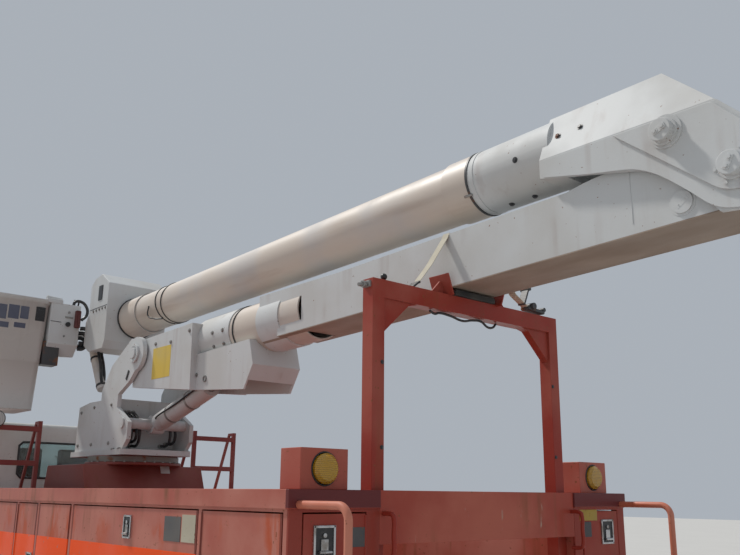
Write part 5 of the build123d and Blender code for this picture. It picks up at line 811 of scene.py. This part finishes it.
post_points = [touch(rest, (at(-1), hand * POST_Y, height), (1, 0, 0))[0]
               for hand in (1, -1) for height in (2.26, 1.86)]
dress(bolts("rest_bolts", 0.007, post_points, (-1, 0, 0)), "truck", *cast_look)
# Lamp cable that sags along the underside of the crossbeam between clips
cable = ((0.30, 2.571), (0.262, 2.560), (0.235, 2.568), (0.15, 2.566), (0.05, 2.552), (-0.03, 2.566),
         (-0.10, 2.568), (-0.15, 2.545), (-0.19, 2.548), (-0.22, 2.572))
dress(tube("rest_cable", [(REST_X, y, z) for y, z in cable], CABLE_RADIUS), "truck", *black_look)

# Access ladders: square tube rails and rungs on the pack's roof beside the pedestal, with a
# round work lamp on the left one, its coiled cord running down the rail.
LAMP_PLACE = (at(4.262), 1.10, 2.215)
LAMP_RADIUS = 0.070
COIL_TURNS = 15
COIL_STEPS = 8
COIL_RADIUS = 0.013
COIL_FOOT = 1.70
CORD_RADIUS = 0.0035
ladder_finish = painted("ladder_maroon", (0.21, 0.042, 0.038), (0.27, 0.085, 0.075), rust=0.4, streak=0.3)
dress(skin_of("access_ladders", 0.005), "truck", "orange_paint", ladder_finish)
lamp_x, lamp_y, lamp_z = LAMP_PLACE
stalk_x = lamp_x + 0.03
housing = bar("work_lamp", LAMP_PLACE, (lamp_x + 0.055, lamp_y, lamp_z), LAMP_RADIUS, 36, 0.014)
bracket = bar("work_lamp_stalk", (stalk_x, lamp_y, lamp_z), (stalk_x, lamp_y, lamp_z - 0.115), 0.009, 12)
dress(joined("work_lamp", [housing, bracket]), "truck", *black_look)
lens_ends = ((lamp_x - 0.010, lamp_y, lamp_z), (lamp_x + 0.004, lamp_y, lamp_z))
dress(bar("work_lamp_lens", *lens_ends, LAMP_RADIUS * 0.84, 36, 0.006), "truck", "glass", lens_finish)
coil_top = lamp_z - 0.12
coil = [(stalk_x + u, lamp_y + v, coil_top - (turn + part / COIL_STEPS) / COIL_TURNS * (coil_top - COIL_FOOT))
        for turn in range(COIL_TURNS) for part, (u, v) in enumerate(circle(COIL_RADIUS, COIL_STEPS))]
coil.append((stalk_x + COIL_RADIUS, lamp_y, COIL_FOOT))
dress(tube("work_lamp_lead", coil, CORD_RADIUS), "truck", *black_look)

# Pedestal: a fabricated steel column with a turned slewing ring on top, brick red, the ring
# held by a circle of bolts; a blank tag lies on its rear slope.
RING_BOLTS = 30
RING_BOLT_CIRCLE = 0.389
SLEW_X = at(4.03)
RING_FLANGE_TOP = 1.886
pedestal_finish = painted("pedestal_brick", (0.22, 0.045, 0.036), (0.27, 0.09, 0.075), rust=0.5, streak=0.6)
pedestal = dress(skin_of("pedestal", 0.006), "truck", "orange_paint", pedestal_finish)
ring_points = [(SLEW_X + u, v, RING_FLANGE_TOP) for u, v in circle(RING_BOLT_CIRCLE, RING_BOLTS)]
dress(bolts("ring_bolts", 0.0075, ring_points, (0, 0, 1)), "truck", *zinc_look)
tag_finish = painted("blank_tag", (0.60, 0.60, 0.58), (0.48, 0.47, 0.44), rust=0.2, streak=0.2)
tag = block("pedestal_tag", (0, 0, 0.001), (0.085, 0.085, 0.003), 0.001)
dress(set_on(tag, *seen(pedestal, (at(3.62), -0.09, 1.835))), "truck", "steel", tag_finish)

# Turntable: a bearing plate with a tank housing and two cheeks that hold the boom pin, welded
# of plate, painted white; hoses loop out of the housing beside the lift cylinder.
CHEEK_FACE = 0.300
BOOM_PIN_STATION = 3.52
BOOM_PIN = (at(BOOM_PIN_STATION), 0, 2.752)
BOOM_WHITE = (0.60, 0.61, 0.61)
BOOM_FADED = (0.55, 0.545, 0.53)
HOUSING_BOLTS = ((3.90, 2.36), (4.25, 2.36), (4.52, 2.33), (3.90, 2.04), (4.25, 2.04), (4.54, 2.04))
SLEW_RING_RADIUS = 0.3765
HOSE_RADIUS = 0.012
boom_finish = painted("boom_white", BOOM_WHITE, BOOM_FADED, rust=0.1, streak=0.2, sheen=(0.55, 0.75))
white_look = ("white_paint", boom_finish)
dress(skin_of("turntable", 0.006), "turntable", *white_look)


def hoop(name, centre, along, radius, broad, thick, sides=64):
    """A band round an axis, standing out from a radius."""
    bpy.ops.mesh.primitive_cylinder_add(vertices=sides, radius=radius, depth=broad, end_fill_type="NOTHING")
    piece = bpy.context.object
    piece.name = name
    wall = piece.modifiers.new("wall", "SOLIDIFY")
    wall.thickness = thick
    wall.offset = 1.0
    bpy.ops.object.modifier_apply(modifier=wall.name)
    return round_edges(set_on(piece, centre, along), min(thick, broad) * 0.25)


def pin_cap(name, radius, height, ring_count=0):
    """Flanged cap over a pin's end, standing on Z = 0: flange, raised cap, oblong keeper and bolts."""
    flange = bar(name, (0, 0, -0.002), (0, 0, height * 0.25), radius, 48, height * 0.06)
    cap = bar("cap", (0, 0, 0), (0, 0, height), radius * 0.82, 48, height * 0.10)
    keeper = block("keeper", (0, 0, height), (radius * 1.05, radius * 0.46, height * 0.16), height * 0.05)
    heads = [(bolt(min(radius * 0.15, height * 0.3)), (offset * radius, 0, height * 1.08))
             for offset in (-0.3, 0.3)]
    heads += [(bolt(radius * 0.12), (u, v, 0)) for u, v in circle(radius * 1.2, ring_count)]
    return joined(name, [flange, cap, keeper, *(set_on(head, place, (0, 0, 1)) for head, place in heads)])


ring_finish = iron_finish("ring_steel", (0.20, 0.185, 0.16), DUST_TONE)
slew_ring = hoop("slew_ring", (SLEW_X, 0, 1.912), (0, 0, 1), SLEW_RING_RADIUS, 0.046, 0.004, 96)
dress(slew_ring, "truck", "steel", ring_finish)
for side, hand in SIDES:
    ring_centre, pin_foot, pin_end = ((BOOM_PIN[0], hand * (CHEEK_FACE + reach), BOOM_PIN[2])
                                      for reach in (0.018, 0.014, 0.034))
    cheek_ring = hoop(f"cheek_ring_{side}", ring_centre, (0, 1, 0), 0.060, 0.010, 0.020)
    cheek_pin = bar(f"cheek_pin_{side}", pin_foot, pin_end, 0.046, 40, 0.004)
    dress(joined(f"boom_pin_cap_{side}", [cheek_ring, cheek_pin]), "turntable", *white_look)
    slot_plate = block(f"cheek_slot_{side}", (at(3.634), hand * (CHEEK_FACE + 0.001), 2.585),
                       (0.030, 0.006, 0.085), 0.002, (0, radians(-28), 0))
    dress(slot_plate, "turntable", *black_look)
    housing_points = [(at(station), hand * CHEEK_FACE, height) for station, height in HOUSING_BOLTS]
    dress(bolts(f"housing_bolts_{side}", 0.011, housing_points, (0, hand, 0)), "turntable", *zinc_look)
    plate_points = [(at(station), hand * 0.312, 1.986) for station in (3.66, 3.78)]
    dress(bolts(f"plate_bolts_{side}", 0.012, plate_points, (0, 0, 1)), "turntable", *zinc_look)
# Hydraulic hoses that loop out of the housing's rear on both sides of the lift cylinder
for number, (y, low, sag) in enumerate(((0.135, 2.02, 0.0), (0.175, 2.05, 0.02), (0.215, 2.03, 0.01),
                                        (-0.14, 2.03, 0.01), (-0.19, 2.05, 0.0))):
    run = [(at(station), y, z) for station, z in (
        (3.848, 2.30), (3.80, 2.29), (3.70 - sag, 2.20), (3.675 - sag, 2.08), (3.72, low), (3.80, low),
        (3.85, low))]
    dress(tube(f"turntable_hose_{number}", run, HOSE_RADIUS), "turntable", *black_look)
    ends = [bar("fitting", (at(3.848), y, z), (at(3.812), y, z - 0.002), 0.018, 6, 0.002)
            for z in (2.30, low)]
    dress(joined(f"turntable_fitting_{number}", ends), "turntable", *zinc_look)
valve = [block("swivel_valves", (at(3.835), 0.16, 2.17), (0.05, 0.15, 0.06), 0.004)]
valve += [bar("spool", (at(3.80), y, 2.17), (at(3.815), y, 2.17), 0.014, 6) for y in (0.12, 0.20)]
dress(joined("swivel_valves", valve), "turntable", *cast_look)

# Lower boom: a welded steel base box with stepped side plates, a fibreglass tube clamped in
# it by bolts, and a steel elbow half that ends in the elbow pin's eye.
ELBOW_FACE = 0.170
ELBOW_PIN_STATION = -1.516
ELBOW_PIN = (at(ELBOW_PIN_STATION), 0, 2.912)
CLAMP_BOLTS = ((2.473, 2.794), (2.331, 2.797), (2.476, 2.697), (2.335, 2.702), (3.265, 2.805), (3.01, 2.789),
               (2.72, 2.84), (2.66, 2.50))
lower_axis = (Vector(ELBOW_PIN) - Vector(BOOM_PIN)).normalized()


def lower_spot(station):
    """Point of the lower boom's axis at a station."""
    share = (BOOM_PIN_STATION - station) / (BOOM_PIN_STATION - ELBOW_PIN_STATION)
    return Vector(BOOM_PIN).lerp(Vector(ELBOW_PIN), share)


def side_point(piece, station, hand, height):
    """Where a piece's side face lies at a station and a height."""
    return touch(piece, (at(station), hand, height), (0, -hand, 0))[0]


fibre_finish = start_finish("fibreglass")
strands = cloud(fibre_finish, 9.0, 6.0, stretch=(0.12, 1, 1))
chalk = step(fibre_finish, cloud(fibre_finish, 2.0, 6.0), 0.4, 0.65)
fibre_tone = over(fibre_finish, chalk, (0.60, 0.52, 0.45), (0.55, 0.51, 0.48))
strand_share = both(fibre_finish, step(fibre_finish, strands, 0.52, 0.72), 0.4)
fibre_tone = over(fibre_finish, strand_share, fibre_tone, (0.40, 0.30, 0.23))
apply_finish(fibre_finish, fibre_tone, rough=(chalk, 0.46, 0.66), height=strands, depth=0.0005)
fibre_look = ("fibreglass", fibre_finish)
base_box = dress(skin_of("lower_boom_base", 0.006), "lower_boom", *white_look)
dress(skin_of("lower_boom_tube", 0.003), "lower_boom", *fibre_look)
elbow_half = dress(skin_of("lower_boom_elbow", 0.005), "lower_boom", *white_look)
# Painted shade and warm painted reflection on the elbow half's underside: a darker brown tone, mottled in
# patches
belly_shade_finish = painted("boom_belly_shade", BOOM_WHITE, BOOM_FADED, rust=0.1, streak=0.2, sheen=(0.55, 0.75))
belly_rear, belly_front = (touch(elbow_half, (at(station), 0, 0), (0, 0, 1))[0] for station in (-0.9, 0.3))
belly_normal = (belly_front - belly_rear).cross(Vector((0, 1, 0))).normalized()
belly_depth = add_node(belly_shade_finish, "ShaderNodeVectorMath", {0: place_of(belly_shade_finish), 1: belly_normal},
                       operation="DOT_PRODUCT").outputs["Value"]
belly_share = add_node(belly_shade_finish, "ShaderNodeMath",
                       {0: belly_depth, 1: belly_normal.dot(belly_rear), 2: 0.006},
                       operation="COMPARE").outputs[0]
stains = step(belly_shade_finish, cloud(belly_shade_finish, 7.0, 6.0, stretch=(0.4, 1, 1)), 0.2, 0.7)
apply_finish(belly_shade_finish, over(belly_shade_finish, both(belly_shade_finish, belly_share, 0.92), tone_of(belly_shade_finish),
                                over(belly_shade_finish, stains, (0.36, 0.28, 0.22), (0.26, 0.19, 0.14))))
elbow_half.data.materials[0] = belly_shade_finish
label_finish = painted("blank_label", (0.72, 0.52, 0.10), (0.62, 0.50, 0.22), rust=0.0, streak=0.2)
for side, hand in SIDES:
    clamp_points = [side_point(base_box, station, hand, height) for station, height in CLAMP_BOLTS]
    dress(bolts(f"base_bolts_{side}", 0.011, clamp_points, (0, hand, 0)), "lower_boom", *zinc_look)
    label = block(f"base_label_{side}", side_point(base_box, 3.15, hand, 2.645), (0.30, 0.003, 0.25), 0.001)
    dress(label, "lower_boom", "steel", label_finish)
    lug_centre = side_point(base_box, 2.534, hand, 2.46) + Vector((0, hand * 0.004, 0))
    dress(hoop(f"base_lug_{side}", lug_centre, (0, 1, 0), 0.016, 0.010, 0.009, 24), "lower_boom", *zinc_look)
    cap = pin_cap(f"elbow_link_cap_{side}", 0.060, 0.0085)
    set_on(cap, (at(-1.262), hand * ELBOW_FACE, 2.838), (0, hand, 0), 0.6)
    dress(cap, "lower_boom", *white_look)
# Sealant ring where the fibreglass tube enters the base, and the weld seam of the elbow half
seal = hoop("base_seal", lower_spot(2.205), lower_axis, 0.1885, 0.012, 0.006)
dress(seal, "lower_boom", *black_look)
seam = [(at(-1.028), ELBOW_FACE + 0.001, z) for z in (2.80, 2.95, 3.04)]
dress(tube("elbow_weld", seam, 0.0016), "lower_boom", *white_look)
# Tie-down strap: drawn over the boom at the rest, with a hook on the left and a ratchet on the right
strap_top = touch(elbow_half, (REST_X, 0, 4), (0, 0, -1))[0].z + STRAP_CLEARANCE
strap_line = ((0.395, 2.702), (0.30, 2.815), (ELBOW_FACE + 0.010, 2.985), (ELBOW_FACE - 0.004, strap_top),
              (0.0, strap_top), (0.004 - ELBOW_FACE, strap_top), (-ELBOW_FACE - 0.010, 2.985),
              (-0.377, 2.764), (-0.50, 2.700))
strap = bpy.data.meshes.new("tie_strap")
strap_edges = (-STRAP_WIDTH / 2, STRAP_WIDTH / 2)
strap_faces = [(index, index + 1, index + 3, index + 2) for index in range(0, 2 * len(strap_line) - 2, 2)]
strap.from_pydata([(REST_X + edge, y, z) for y, z in strap_line for edge in strap_edges], [], strap_faces)
strap_piece = linked("tie_strap", strap)
weave = strap_piece.modifiers.new("weave", "SOLIDIFY")
weave.thickness = STRAP_THICKNESS
bpy.ops.object.modifier_apply(modifier=weave.name)
strap_finish = start_finish("tie_strap", roughness=0.8)
ribs = waves(strap_finish, 60.0, "X", 0.6)
strap_tone = over(strap_finish, cloud(strap_finish, 12.0, 6.0), (0.62, 0.58, 0.47), (0.42, 0.37, 0.28))
apply_finish(strap_finish, strap_tone, height=ribs, depth=0.0008)
dress(strap_piece, "lower_boom", "seat_vinyl", strap_finish)
strap_hook = joined("strap_hook", [
    block("strap_hook", (REST_X, 0.415, 2.690), (0.052, 0.060, 0.012), 0.004, (radians(-38), 0, 0)),
    bar("hook_bar", (REST_X - 0.030, 0.400, 2.702), (REST_X + 0.030, 0.400, 2.702), 0.007, 16, 0.002)])
dress(strap_hook, "lower_boom", *cast_look)
ratchet = joined("ratchet", [
    block("ratchet", (REST_X, -0.555, 2.698), (0.062, 0.150, 0.020), 0.005, (radians(4), 0, 0)),
    bar("reel", (REST_X - 0.044, -0.520, 2.716), (REST_X + 0.044, -0.520, 2.716), 0.020, 20, 0.003),
    block("lever", (REST_X, -0.474, 2.766), (0.050, 0.012, 0.105), 0.003, (radians(24), 0, 0)),
    bar("lever_grip", (REST_X - 0.034, -0.496, 2.816), (REST_X + 0.034, -0.496, 2.816), 0.011, 16, 0.002),
    bar("pawl", (REST_X - 0.030, -0.630, 2.711), (REST_X + 0.030, -0.630, 2.711), 0.013, 16, 0.002)])
dress(ratchet, "lower_boom", *cast_look)

# Lift cylinder: a painted barrel under the lower boom and its chromed rod, with the oil pipe
# clamped along the barrel by two straps.
CYLINDER_BASE = Vector((at(3.66), 0, 2.195))
ROD_EYE = Vector((at(2.60), 0, 2.49))
cylinder_axis = (ROD_EYE - CYLINDER_BASE).normalized()
barrel_length = (ROD_EYE - CYLINDER_BASE).length - 0.19
dress(skin_of("lift_barrel", 0.004), "lift_barrel", *white_look)
coat("lift_rod", steel_finish)
straps = [hoop("barrel_strap", CYLINDER_BASE + cylinder_axis * distance, cylinder_axis, 0.0765, 0.022, 0.003)
          for distance in (0.30, 0.62)]
dress(joined("barrel_straps", straps), "lift_barrel", *zinc_look)
pipe_side = Vector((0, 0.088, 0))
pipe = [CYLINDER_BASE + cylinder_axis * distance + pipe_side * reach for distance, reach in (
    (0.14, 0.8), (0.17, 1), (0.5, 1), (barrel_length - 0.07, 1), (barrel_length - 0.04, 0.8))]
dress(tube("barrel_pipe", pipe, 0.007), "lift_barrel", *black_look)

# Upper boom: a welded gooseneck with doubled cheek plates and capped pins, and a fibreglass
# tube held in its adaptor by bolts and a clamp band.
GOOSE_FACE = 0.208
CHEEK_PLATE = 0.008
DOUBLER_PLATE = 0.013
PIN_CAP_RADIUS = 0.062
DOUBLER_FOOT = GOOSE_FACE + CHEEK_PLATE
DOUBLER_FACE = DOUBLER_FOOT + DOUBLER_PLATE
UPPER_STATIONS = (-0.56, 4.20)
UPPER_AXIS_REAR = Vector((at(UPPER_STATIONS[0]), 0, 3.314))
UPPER_AXIS_FRONT = Vector((at(UPPER_STATIONS[1]), 0, 3.190))
NOSE_RADIUS = 0.172
DOUBLER_NOSE_RADIUS = 0.142
upper_axis = (UPPER_AXIS_FRONT - UPPER_AXIS_REAR).normalized()


def upper_spot(station):
    """Point of the upper boom's axis at a station."""
    share = (station - UPPER_STATIONS[0]) / (UPPER_STATIONS[1] - UPPER_STATIONS[0])
    return UPPER_AXIS_REAR.lerp(UPPER_AXIS_FRONT, share)


def tube_band(name, station, radius, broad, thick, slot, finish):
    """A band round the upper boom's tube, its middle at a station."""
    ring = hoop(name, upper_spot(station), upper_axis, radius, broad, thick)
    return dress(ring, "upper_boom", slot, finish)


def plate(name, outline, low, high, width=0.002):
    """A flat plate: an outline of (X, Z) points made solid between two Y values."""
    mesh = bpy.data.meshes.new(name)
    mesh.from_pydata([(x, low, z) for x, z in outline], [], [list(range(len(outline)))])
    piece = linked(name, mesh)
    bpy.ops.object.mode_set(mode="EDIT")
    bpy.ops.mesh.select_all(action="SELECT")
    bpy.ops.mesh.extrude_region_move(TRANSFORM_OT_translate={"value": (0, high - low, 0)})
    bpy.ops.mesh.select_all(action="SELECT")
    bpy.ops.mesh.normals_make_consistent(inside=False)
    bpy.ops.object.mode_set(mode="OBJECT")
    return round_edges(piece, width, 2, 40)


def bow(start, pull_start, pull_end, end, count=12):
    """Points of a smooth edge between two points, drawn towards two others."""
    return [(point.x, point.y) for point in
            interpolate_bezier(*(Vector((x, z)) for x, z in (start, pull_start, pull_end, end)), count)]


def nose_arc(radius, first, last, count=10):
    """Points of an arc about the elbow pin, between two angles in degrees."""
    turns = [radians(first + (last - first) * index / count) for index in range(count + 1)]
    return [(ELBOW_PIN[0] + radius * cos(turned), ELBOW_PIN[2] + radius * sin(turned)) for turned in turns]


goose = dress(skin_of("upper_boom_elbow", 0.005), "upper_boom", *white_look)
dress(skin_of("upper_boom_tube", 0.003), "upper_boom", *fibre_look)
cheek_outline = [(at(-0.600), 3.215), (at(-0.597), 3.127), (at(-0.846), 3.072),
                 *bow((at(-1.02), 3.040), (at(-1.13), 3.020), (at(-1.20), 2.965), (at(-1.30), 2.875)),
                 *bow((at(-1.33), 2.848), (at(-1.39), 2.790), (at(-1.42), 2.750), (at(-1.516), 2.740), 8),
                 *nose_arc(NOSE_RADIUS, -90, -182), (at(-1.672), 3.010), (at(-1.470), 3.215)]
doubler_outline = [(at(-0.992), 3.208),
                   *bow((at(-1.400), 2.872), (at(-1.445), 2.832), (at(-1.47), 2.815), (at(-1.53), 2.812), 8),
                   *nose_arc(DOUBLER_NOSE_RADIUS, -125, -182), (at(-1.643), 3.010), (at(-1.462), 3.196),
                   (at(-1.440), 3.208)]
for side, hand in SIDES:
    for name, outline, low, high, width in (("cheek", cheek_outline, GOOSE_FACE, DOUBLER_FOOT, 0.002),
                                            ("doubler", doubler_outline, DOUBLER_FOOT, DOUBLER_FACE, 0.003)):
        sheet = plate(f"goose_{name}_{side}", outline, hand * (low - 0.002), hand * high, width)
        dress(sheet, "upper_boom", *white_look)
    link_cap = pin_cap(f"link_cap_{side}", PIN_CAP_RADIUS, 0.044)
    set_on(link_cap, (at(-1.243), hand * (DOUBLER_FACE + 0.007), 3.140), (0, hand, 0), 0.4)
    elbow_cap = pin_cap(f"elbow_cap_{side}", PIN_CAP_RADIUS, 0.045, 6)
    set_on(elbow_cap, (ELBOW_PIN[0], hand * DOUBLER_FACE, ELBOW_PIN[2]), (0, hand, 0), 1.1)
    dress(joined(f"goose_caps_{side}", [link_cap, elbow_cap]), "upper_boom", *white_look)
# Bolts through the adaptor, seen from the camera's side and mirrored to the other
goose_bolts = []
for target in ((at(-0.398), 0.175, 3.291), (at(-0.665), 0.175, 3.333), (at(-0.792), 0.175, 3.337),
               (at(-0.247), 0.025, 3.132), (at(-0.398), 0.024, 3.135)):
    point, normal = seen(goose, target)
    for hand in ((1, -1) if point.y > 0.05 else (1,)):
        goose_bolts.append(stand((point.x, hand * point.y, point.z), (normal.x, hand * normal.y, normal.z)))
goose_bolt = bolt(0.0105)
goose_bolt.name = "goose_bolts"
dress(repeated(goose_bolt, goose_bolts), "upper_boom", *cast_look)
# The fibreglass runs over the adaptor up to its clamp: a pale ring, then a steel band with a screw
tube_band("adaptor_sleeve", 0.030, 0.1762, 0.182, 0.0014, *fibre_look)
tube_band("adaptor_ring", -0.094, 0.1760, 0.030, 0.003, *white_look)
tube_band("adaptor_band", -0.062, 0.1765, 0.014, 0.005, *cast_look)
screw_place = seen(goose, (at(-0.06), 0.14, 3.20))[0] + Vector((0, 0.006, 0))
screw_ends = (screw_place + Vector((ahead, 0, 0)) for ahead in (-0.02, 0.035))
screw = bar("band_screw", *screw_ends, 0.007, 12, 0.001)
dress(screw, "upper_boom", *zinc_look)

# Boom tip: a two-part moulded cover over the head, with a black seal round the tube, a hand
# opening in each side and a hose guard that hangs below.
TIP_FACE = 0.290
TIP_BOLT_PITCH = 0.065
GUARD_TOP = Vector((at(4.62), 0.20, 2.915))
GUARD_FOOT = Vector((at(4.36), 0.20, 2.535))
dress(skin_of("boom_tip", 0.020, 4), "upper_boom", *white_look)
tube_band("tip_sleeve", 4.035, 0.1784, 0.315, 0.0012, *fibre_look)
tube_band("tip_seal", 4.192, 0.1797, 0.016, 0.009, *black_look)
for side, hand in SIDES:
    opening = block(f"tip_slot_{side}", (at(4.370), hand * (TIP_FACE + 0.001), 3.42),
                    (0.085, 0.010, 0.14), 0.004)
    dress(opening, "upper_boom", *black_look)
    tip_points = [(at(4.24 + TIP_BOLT_PITCH * index), hand * TIP_FACE, 3.262) for index in range(5)]
    dress(bolts(f"tip_bolts_{side}", 0.009, tip_points, (0, hand, 0)), "upper_boom", *zinc_look)
    seam_strip = block(f"tip_seam_{side}", (at(4.395), hand * (TIP_FACE - 0.001), 3.284),
                       (0.375, 0.006, 0.005), 0.001)
    dress(seam_strip, "upper_boom", *black_look)
for number, (station, lean) in enumerate(((3.50, 9), (3.40, -7))):
    leaning = Matrix.Rotation(radians(lean), 3, "Y") @ upper_axis
    strand = hoop(f"tube_strand_{number}", upper_spot(station), leaning, 0.1695, 0.009, 0.006)
    dress(strand, "upper_boom", *black_look)
hook_line = [upper_spot(station) + Vector((0, y, z)) for station, y, z in (
    (3.60, 0.178, -0.02), (3.60, 0.180, -0.10), (3.52, 0.165, -0.14), (3.42, 0.135, -0.155))]
dress(tube("tube_hook", hook_line, 0.006), "upper_boom", *black_look)
dress(bar("hose_guard", GUARD_TOP, GUARD_FOOT, 0.043, 28, 0.006), "upper_boom", *fibre_look)
guard_axis = (GUARD_FOOT - GUARD_TOP).normalized()
guard_clamps = [hoop("guard_clamp", GUARD_TOP + guard_axis * distance, guard_axis, 0.0435, 0.022, 0.004, 32)
                for distance in (0.10, 0.42)]
dress(joined("guard_clamps", guard_clamps), "upper_boom", *black_look)
for number, (lag, y) in enumerate(((0.075, 0.175), (0.105, 0.215))):
    run = [(at(4.60) - lag, y, 3.00), (at(4.585) - lag, y, 2.90), (at(4.50) - lag, y + 0.004, 2.76),
           (at(4.47) - lag, y, 2.64), (at(4.36), 0.20, 2.56)]
    dress(tube(f"guard_hose_{number}", run, 0.014), "upper_boom", *black_look)

# Bucket: a moulded glass-fibre tub with a rolled rim and a stepped foot, on a steel mount
# that carries the upper controls; its stickers are blank.
MOUNT_REAR = at(4.70)
BEHIND_TUB = MOUNT_REAR - 0.5
RIM_BAND = 0.045
RIM_GROWTH = 0.011
TUB_STEP = 2.77
FOOT_GROWTH = -0.005
CONTROL_HOSE_RADIUS = 0.019
tub_finish = painted("tub_gelcoat", (0.60, 0.60, 0.58), (0.52, 0.51, 0.49), rust=0.0, streak=0.25,
                     sheen=(0.25, 0.5))
dress(skin_of("bucket_mount", 0.010, 3), "bucket", *white_look)
tub_low, tub_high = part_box("bucket")
tub = skin_of("bucket", 0.010, 3)
pick(tub)
bpy.ops.object.mode_set(mode="EDIT")
for height in (tub_high.z - RIM_BAND, TUB_STEP):
    bpy.ops.mesh.select_all(action="SELECT")
    bpy.ops.mesh.bisect(plane_co=(0, 0, height), plane_no=(0, 0, 1))
middle = (tub_low + tub_high) / 2
for low, high, grow in ((tub_high.z - RIM_BAND, tub_high.z + 1, RIM_GROWTH),
                        (tub_low.z - 1, TUB_STEP, FOOT_GROWTH)):
    bpy.ops.mesh.select_all(action="DESELECT")
    shape = bmesh.from_edit_mesh(tub.data)
    for face in shape.faces:
        spot = face.calc_center_median()
        outward = (spot - middle).to_2d().dot(face.normal.to_2d()) > 0.02 and abs(face.normal.z) < 0.5
        face.select_set(low < spot.z < high and outward)
    bmesh.update_edit_mesh(tub.data)
    bpy.ops.mesh.extrude_region_shrink_fatten(TRANSFORM_OT_shrink_fatten={"value": grow})
bpy.ops.object.mode_set(mode="OBJECT")
dress(smooth(tub), "bucket", "fibreglass", tub_finish)
decal_finish = painted("blank_decal", (0.085, 0.095, 0.14), (0.13, 0.14, 0.18), rust=0.0, streak=0.1)
# Stickers on the tub's rear wall: side, height, width and height of each
for number, (y, z, broad, tall) in enumerate((
        (1.045, 3.19, 0.10, 0.13), (0.935, 3.20, 0.095, 0.125), (0.84, 3.205, 0.075, 0.115),
        (1.02, 3.075, 0.11, 0.05), (0.87, 3.085, 0.10, 0.045))):
    sticker = block(f"bucket_sticker_{number}", (0, 0, 0), (broad, tall, 0.002), 0.0006)
    set_on(sticker, *touch(tub, (BEHIND_TUB, y, z), (1, 0, 0)))
    dress(sticker, "bucket", "black_plastic", decal_finish)
recess = joined("bucket_handhold", [block("bucket_handhold", (0, 0, 0.001), (0.085, 0.13, 0.008), 0.003),
                                    block("inner", (0, 0, 0.004), (0.045, 0.07, 0.008), 0.003)])
set_on(recess, *touch(tub, (BEHIND_TUB, 0.70, 3.21), (1, 0, 0)))
dress(recess, "bucket", *black_look)
# Upper controls: lid seam, cap knob, catches, hanger bracket, and a dark block of painted shade under the box
lid_seam = block("control_seam", (MOUNT_REAR, 0.555, 3.163), (0.006, 0.10, 0.005), 0.001)
dress(lid_seam, "bucket", *black_look)
knob = bar("control_knob", (MOUNT_REAR - 0.026, 0.445, 3.147), (MOUNT_REAR, 0.445, 3.147), 0.022, 24, 0.005)
dress(knob, "bucket", *black_look)
catches = [block("control_catches", (MOUNT_REAR - 0.002, 0.437, 3.215), (0.012, 0.075, 0.016), 0.003)]
catches += [bar("catch", (MOUNT_REAR - 0.008, y, z), (MOUNT_REAR, y, z), radius, 16, 0.002)
            for y, z, radius in ((0.440, 3.262, 0.012), (0.468, 3.035, 0.010))]
dress(joined("control_catches", catches), "bucket", *zinc_look)
hanger_x = MOUNT_REAR + 0.03
hanger = joined("control_hanger", [
    block("control_hanger", (hanger_x, 0.578, 3.352), (0.075, 0.15, 0.045), 0.012),
    bar("hanger_roll", (hanger_x, 0.650, 3.380), (hanger_x, 0.510, 3.372), 0.021, 20, 0.005)])
dress(hanger, "bucket", *white_look)
# Painted shade: a dark block under the control box stands in for the shadow under the mount.
under_box_shade = block("under_box_shade_block", (MOUNT_REAR + 0.10, 0.560, 2.870), (0.14, 0.15, 0.22), 0.008)
dress(under_box_shade, "bucket", *cast_look)
signal_finish = painted("grip_maroon", (0.085, 0.020, 0.022), (0.16, 0.06, 0.055), rust=0.1, streak=0.1)
lever_x = MOUNT_REAR - 0.020
grip = joined("control_grip", [
    block("control_grip", (lever_x, 0.362, 3.205), (0.046, 0.050, 0.165), 0.010),
    bar("trigger", (lever_x - 0.028, 0.362, 3.150), (lever_x - 0.028, 0.362, 3.240), 0.009, 14, 0.003)])
dress(grip, "bucket", "orange_paint", signal_finish)
guard_line = [(MOUNT_REAR + 0.02, y, z) for y, z in (
    (0.40, 3.335), (0.385, 3.375), (0.33, 3.385), (0.275, 3.345), (0.262, 3.27), (0.31, 3.21))]
levers = [bar("lever", (MOUNT_REAR + 0.05, y, 3.33), (MOUNT_REAR + 0.04, y - 0.004, 3.40), 0.008, 12, 0.002)
          for y in (0.385, 0.345)]
dress(joined("control_guard", [tube("control_guard", guard_line, 0.014), *levers]), "bucket", *black_look)
# Hoses from the controls round the mount's shaft to the boom's tip
for number, (high, low, forward) in enumerate(((3.13, 3.00, 0.02), (3.09, 2.95, 0.05), (3.05, 2.98, 0.09))):
    run = [(MOUNT_REAR + forward + ease, y, z) for ease, y, z in (
        (0, 0.315, high), (-0.02, 0.265, high - 0.005), (-0.02, 0.235, (high + low) / 2), (-0.01, 0.262, low),
        (0, 0.315, low - 0.01))]
    dress(tube(f"control_hose_{number}", run, CONTROL_HOSE_RADIUS), "bucket", *black_look)
bellows = []
for index in range(5):
    y = 0.268 + 0.010 * index
    bellows.append(bar(f"bellows_{index}", (MOUNT_REAR + 0.25, y, 3.11), (MOUNT_REAR + 0.25, y + 0.007, 3.11),
                       0.062 if index % 2 else 0.070, 28, 0.002))
dress(joined("shaft_bellows", bellows), "bucket", *black_look)
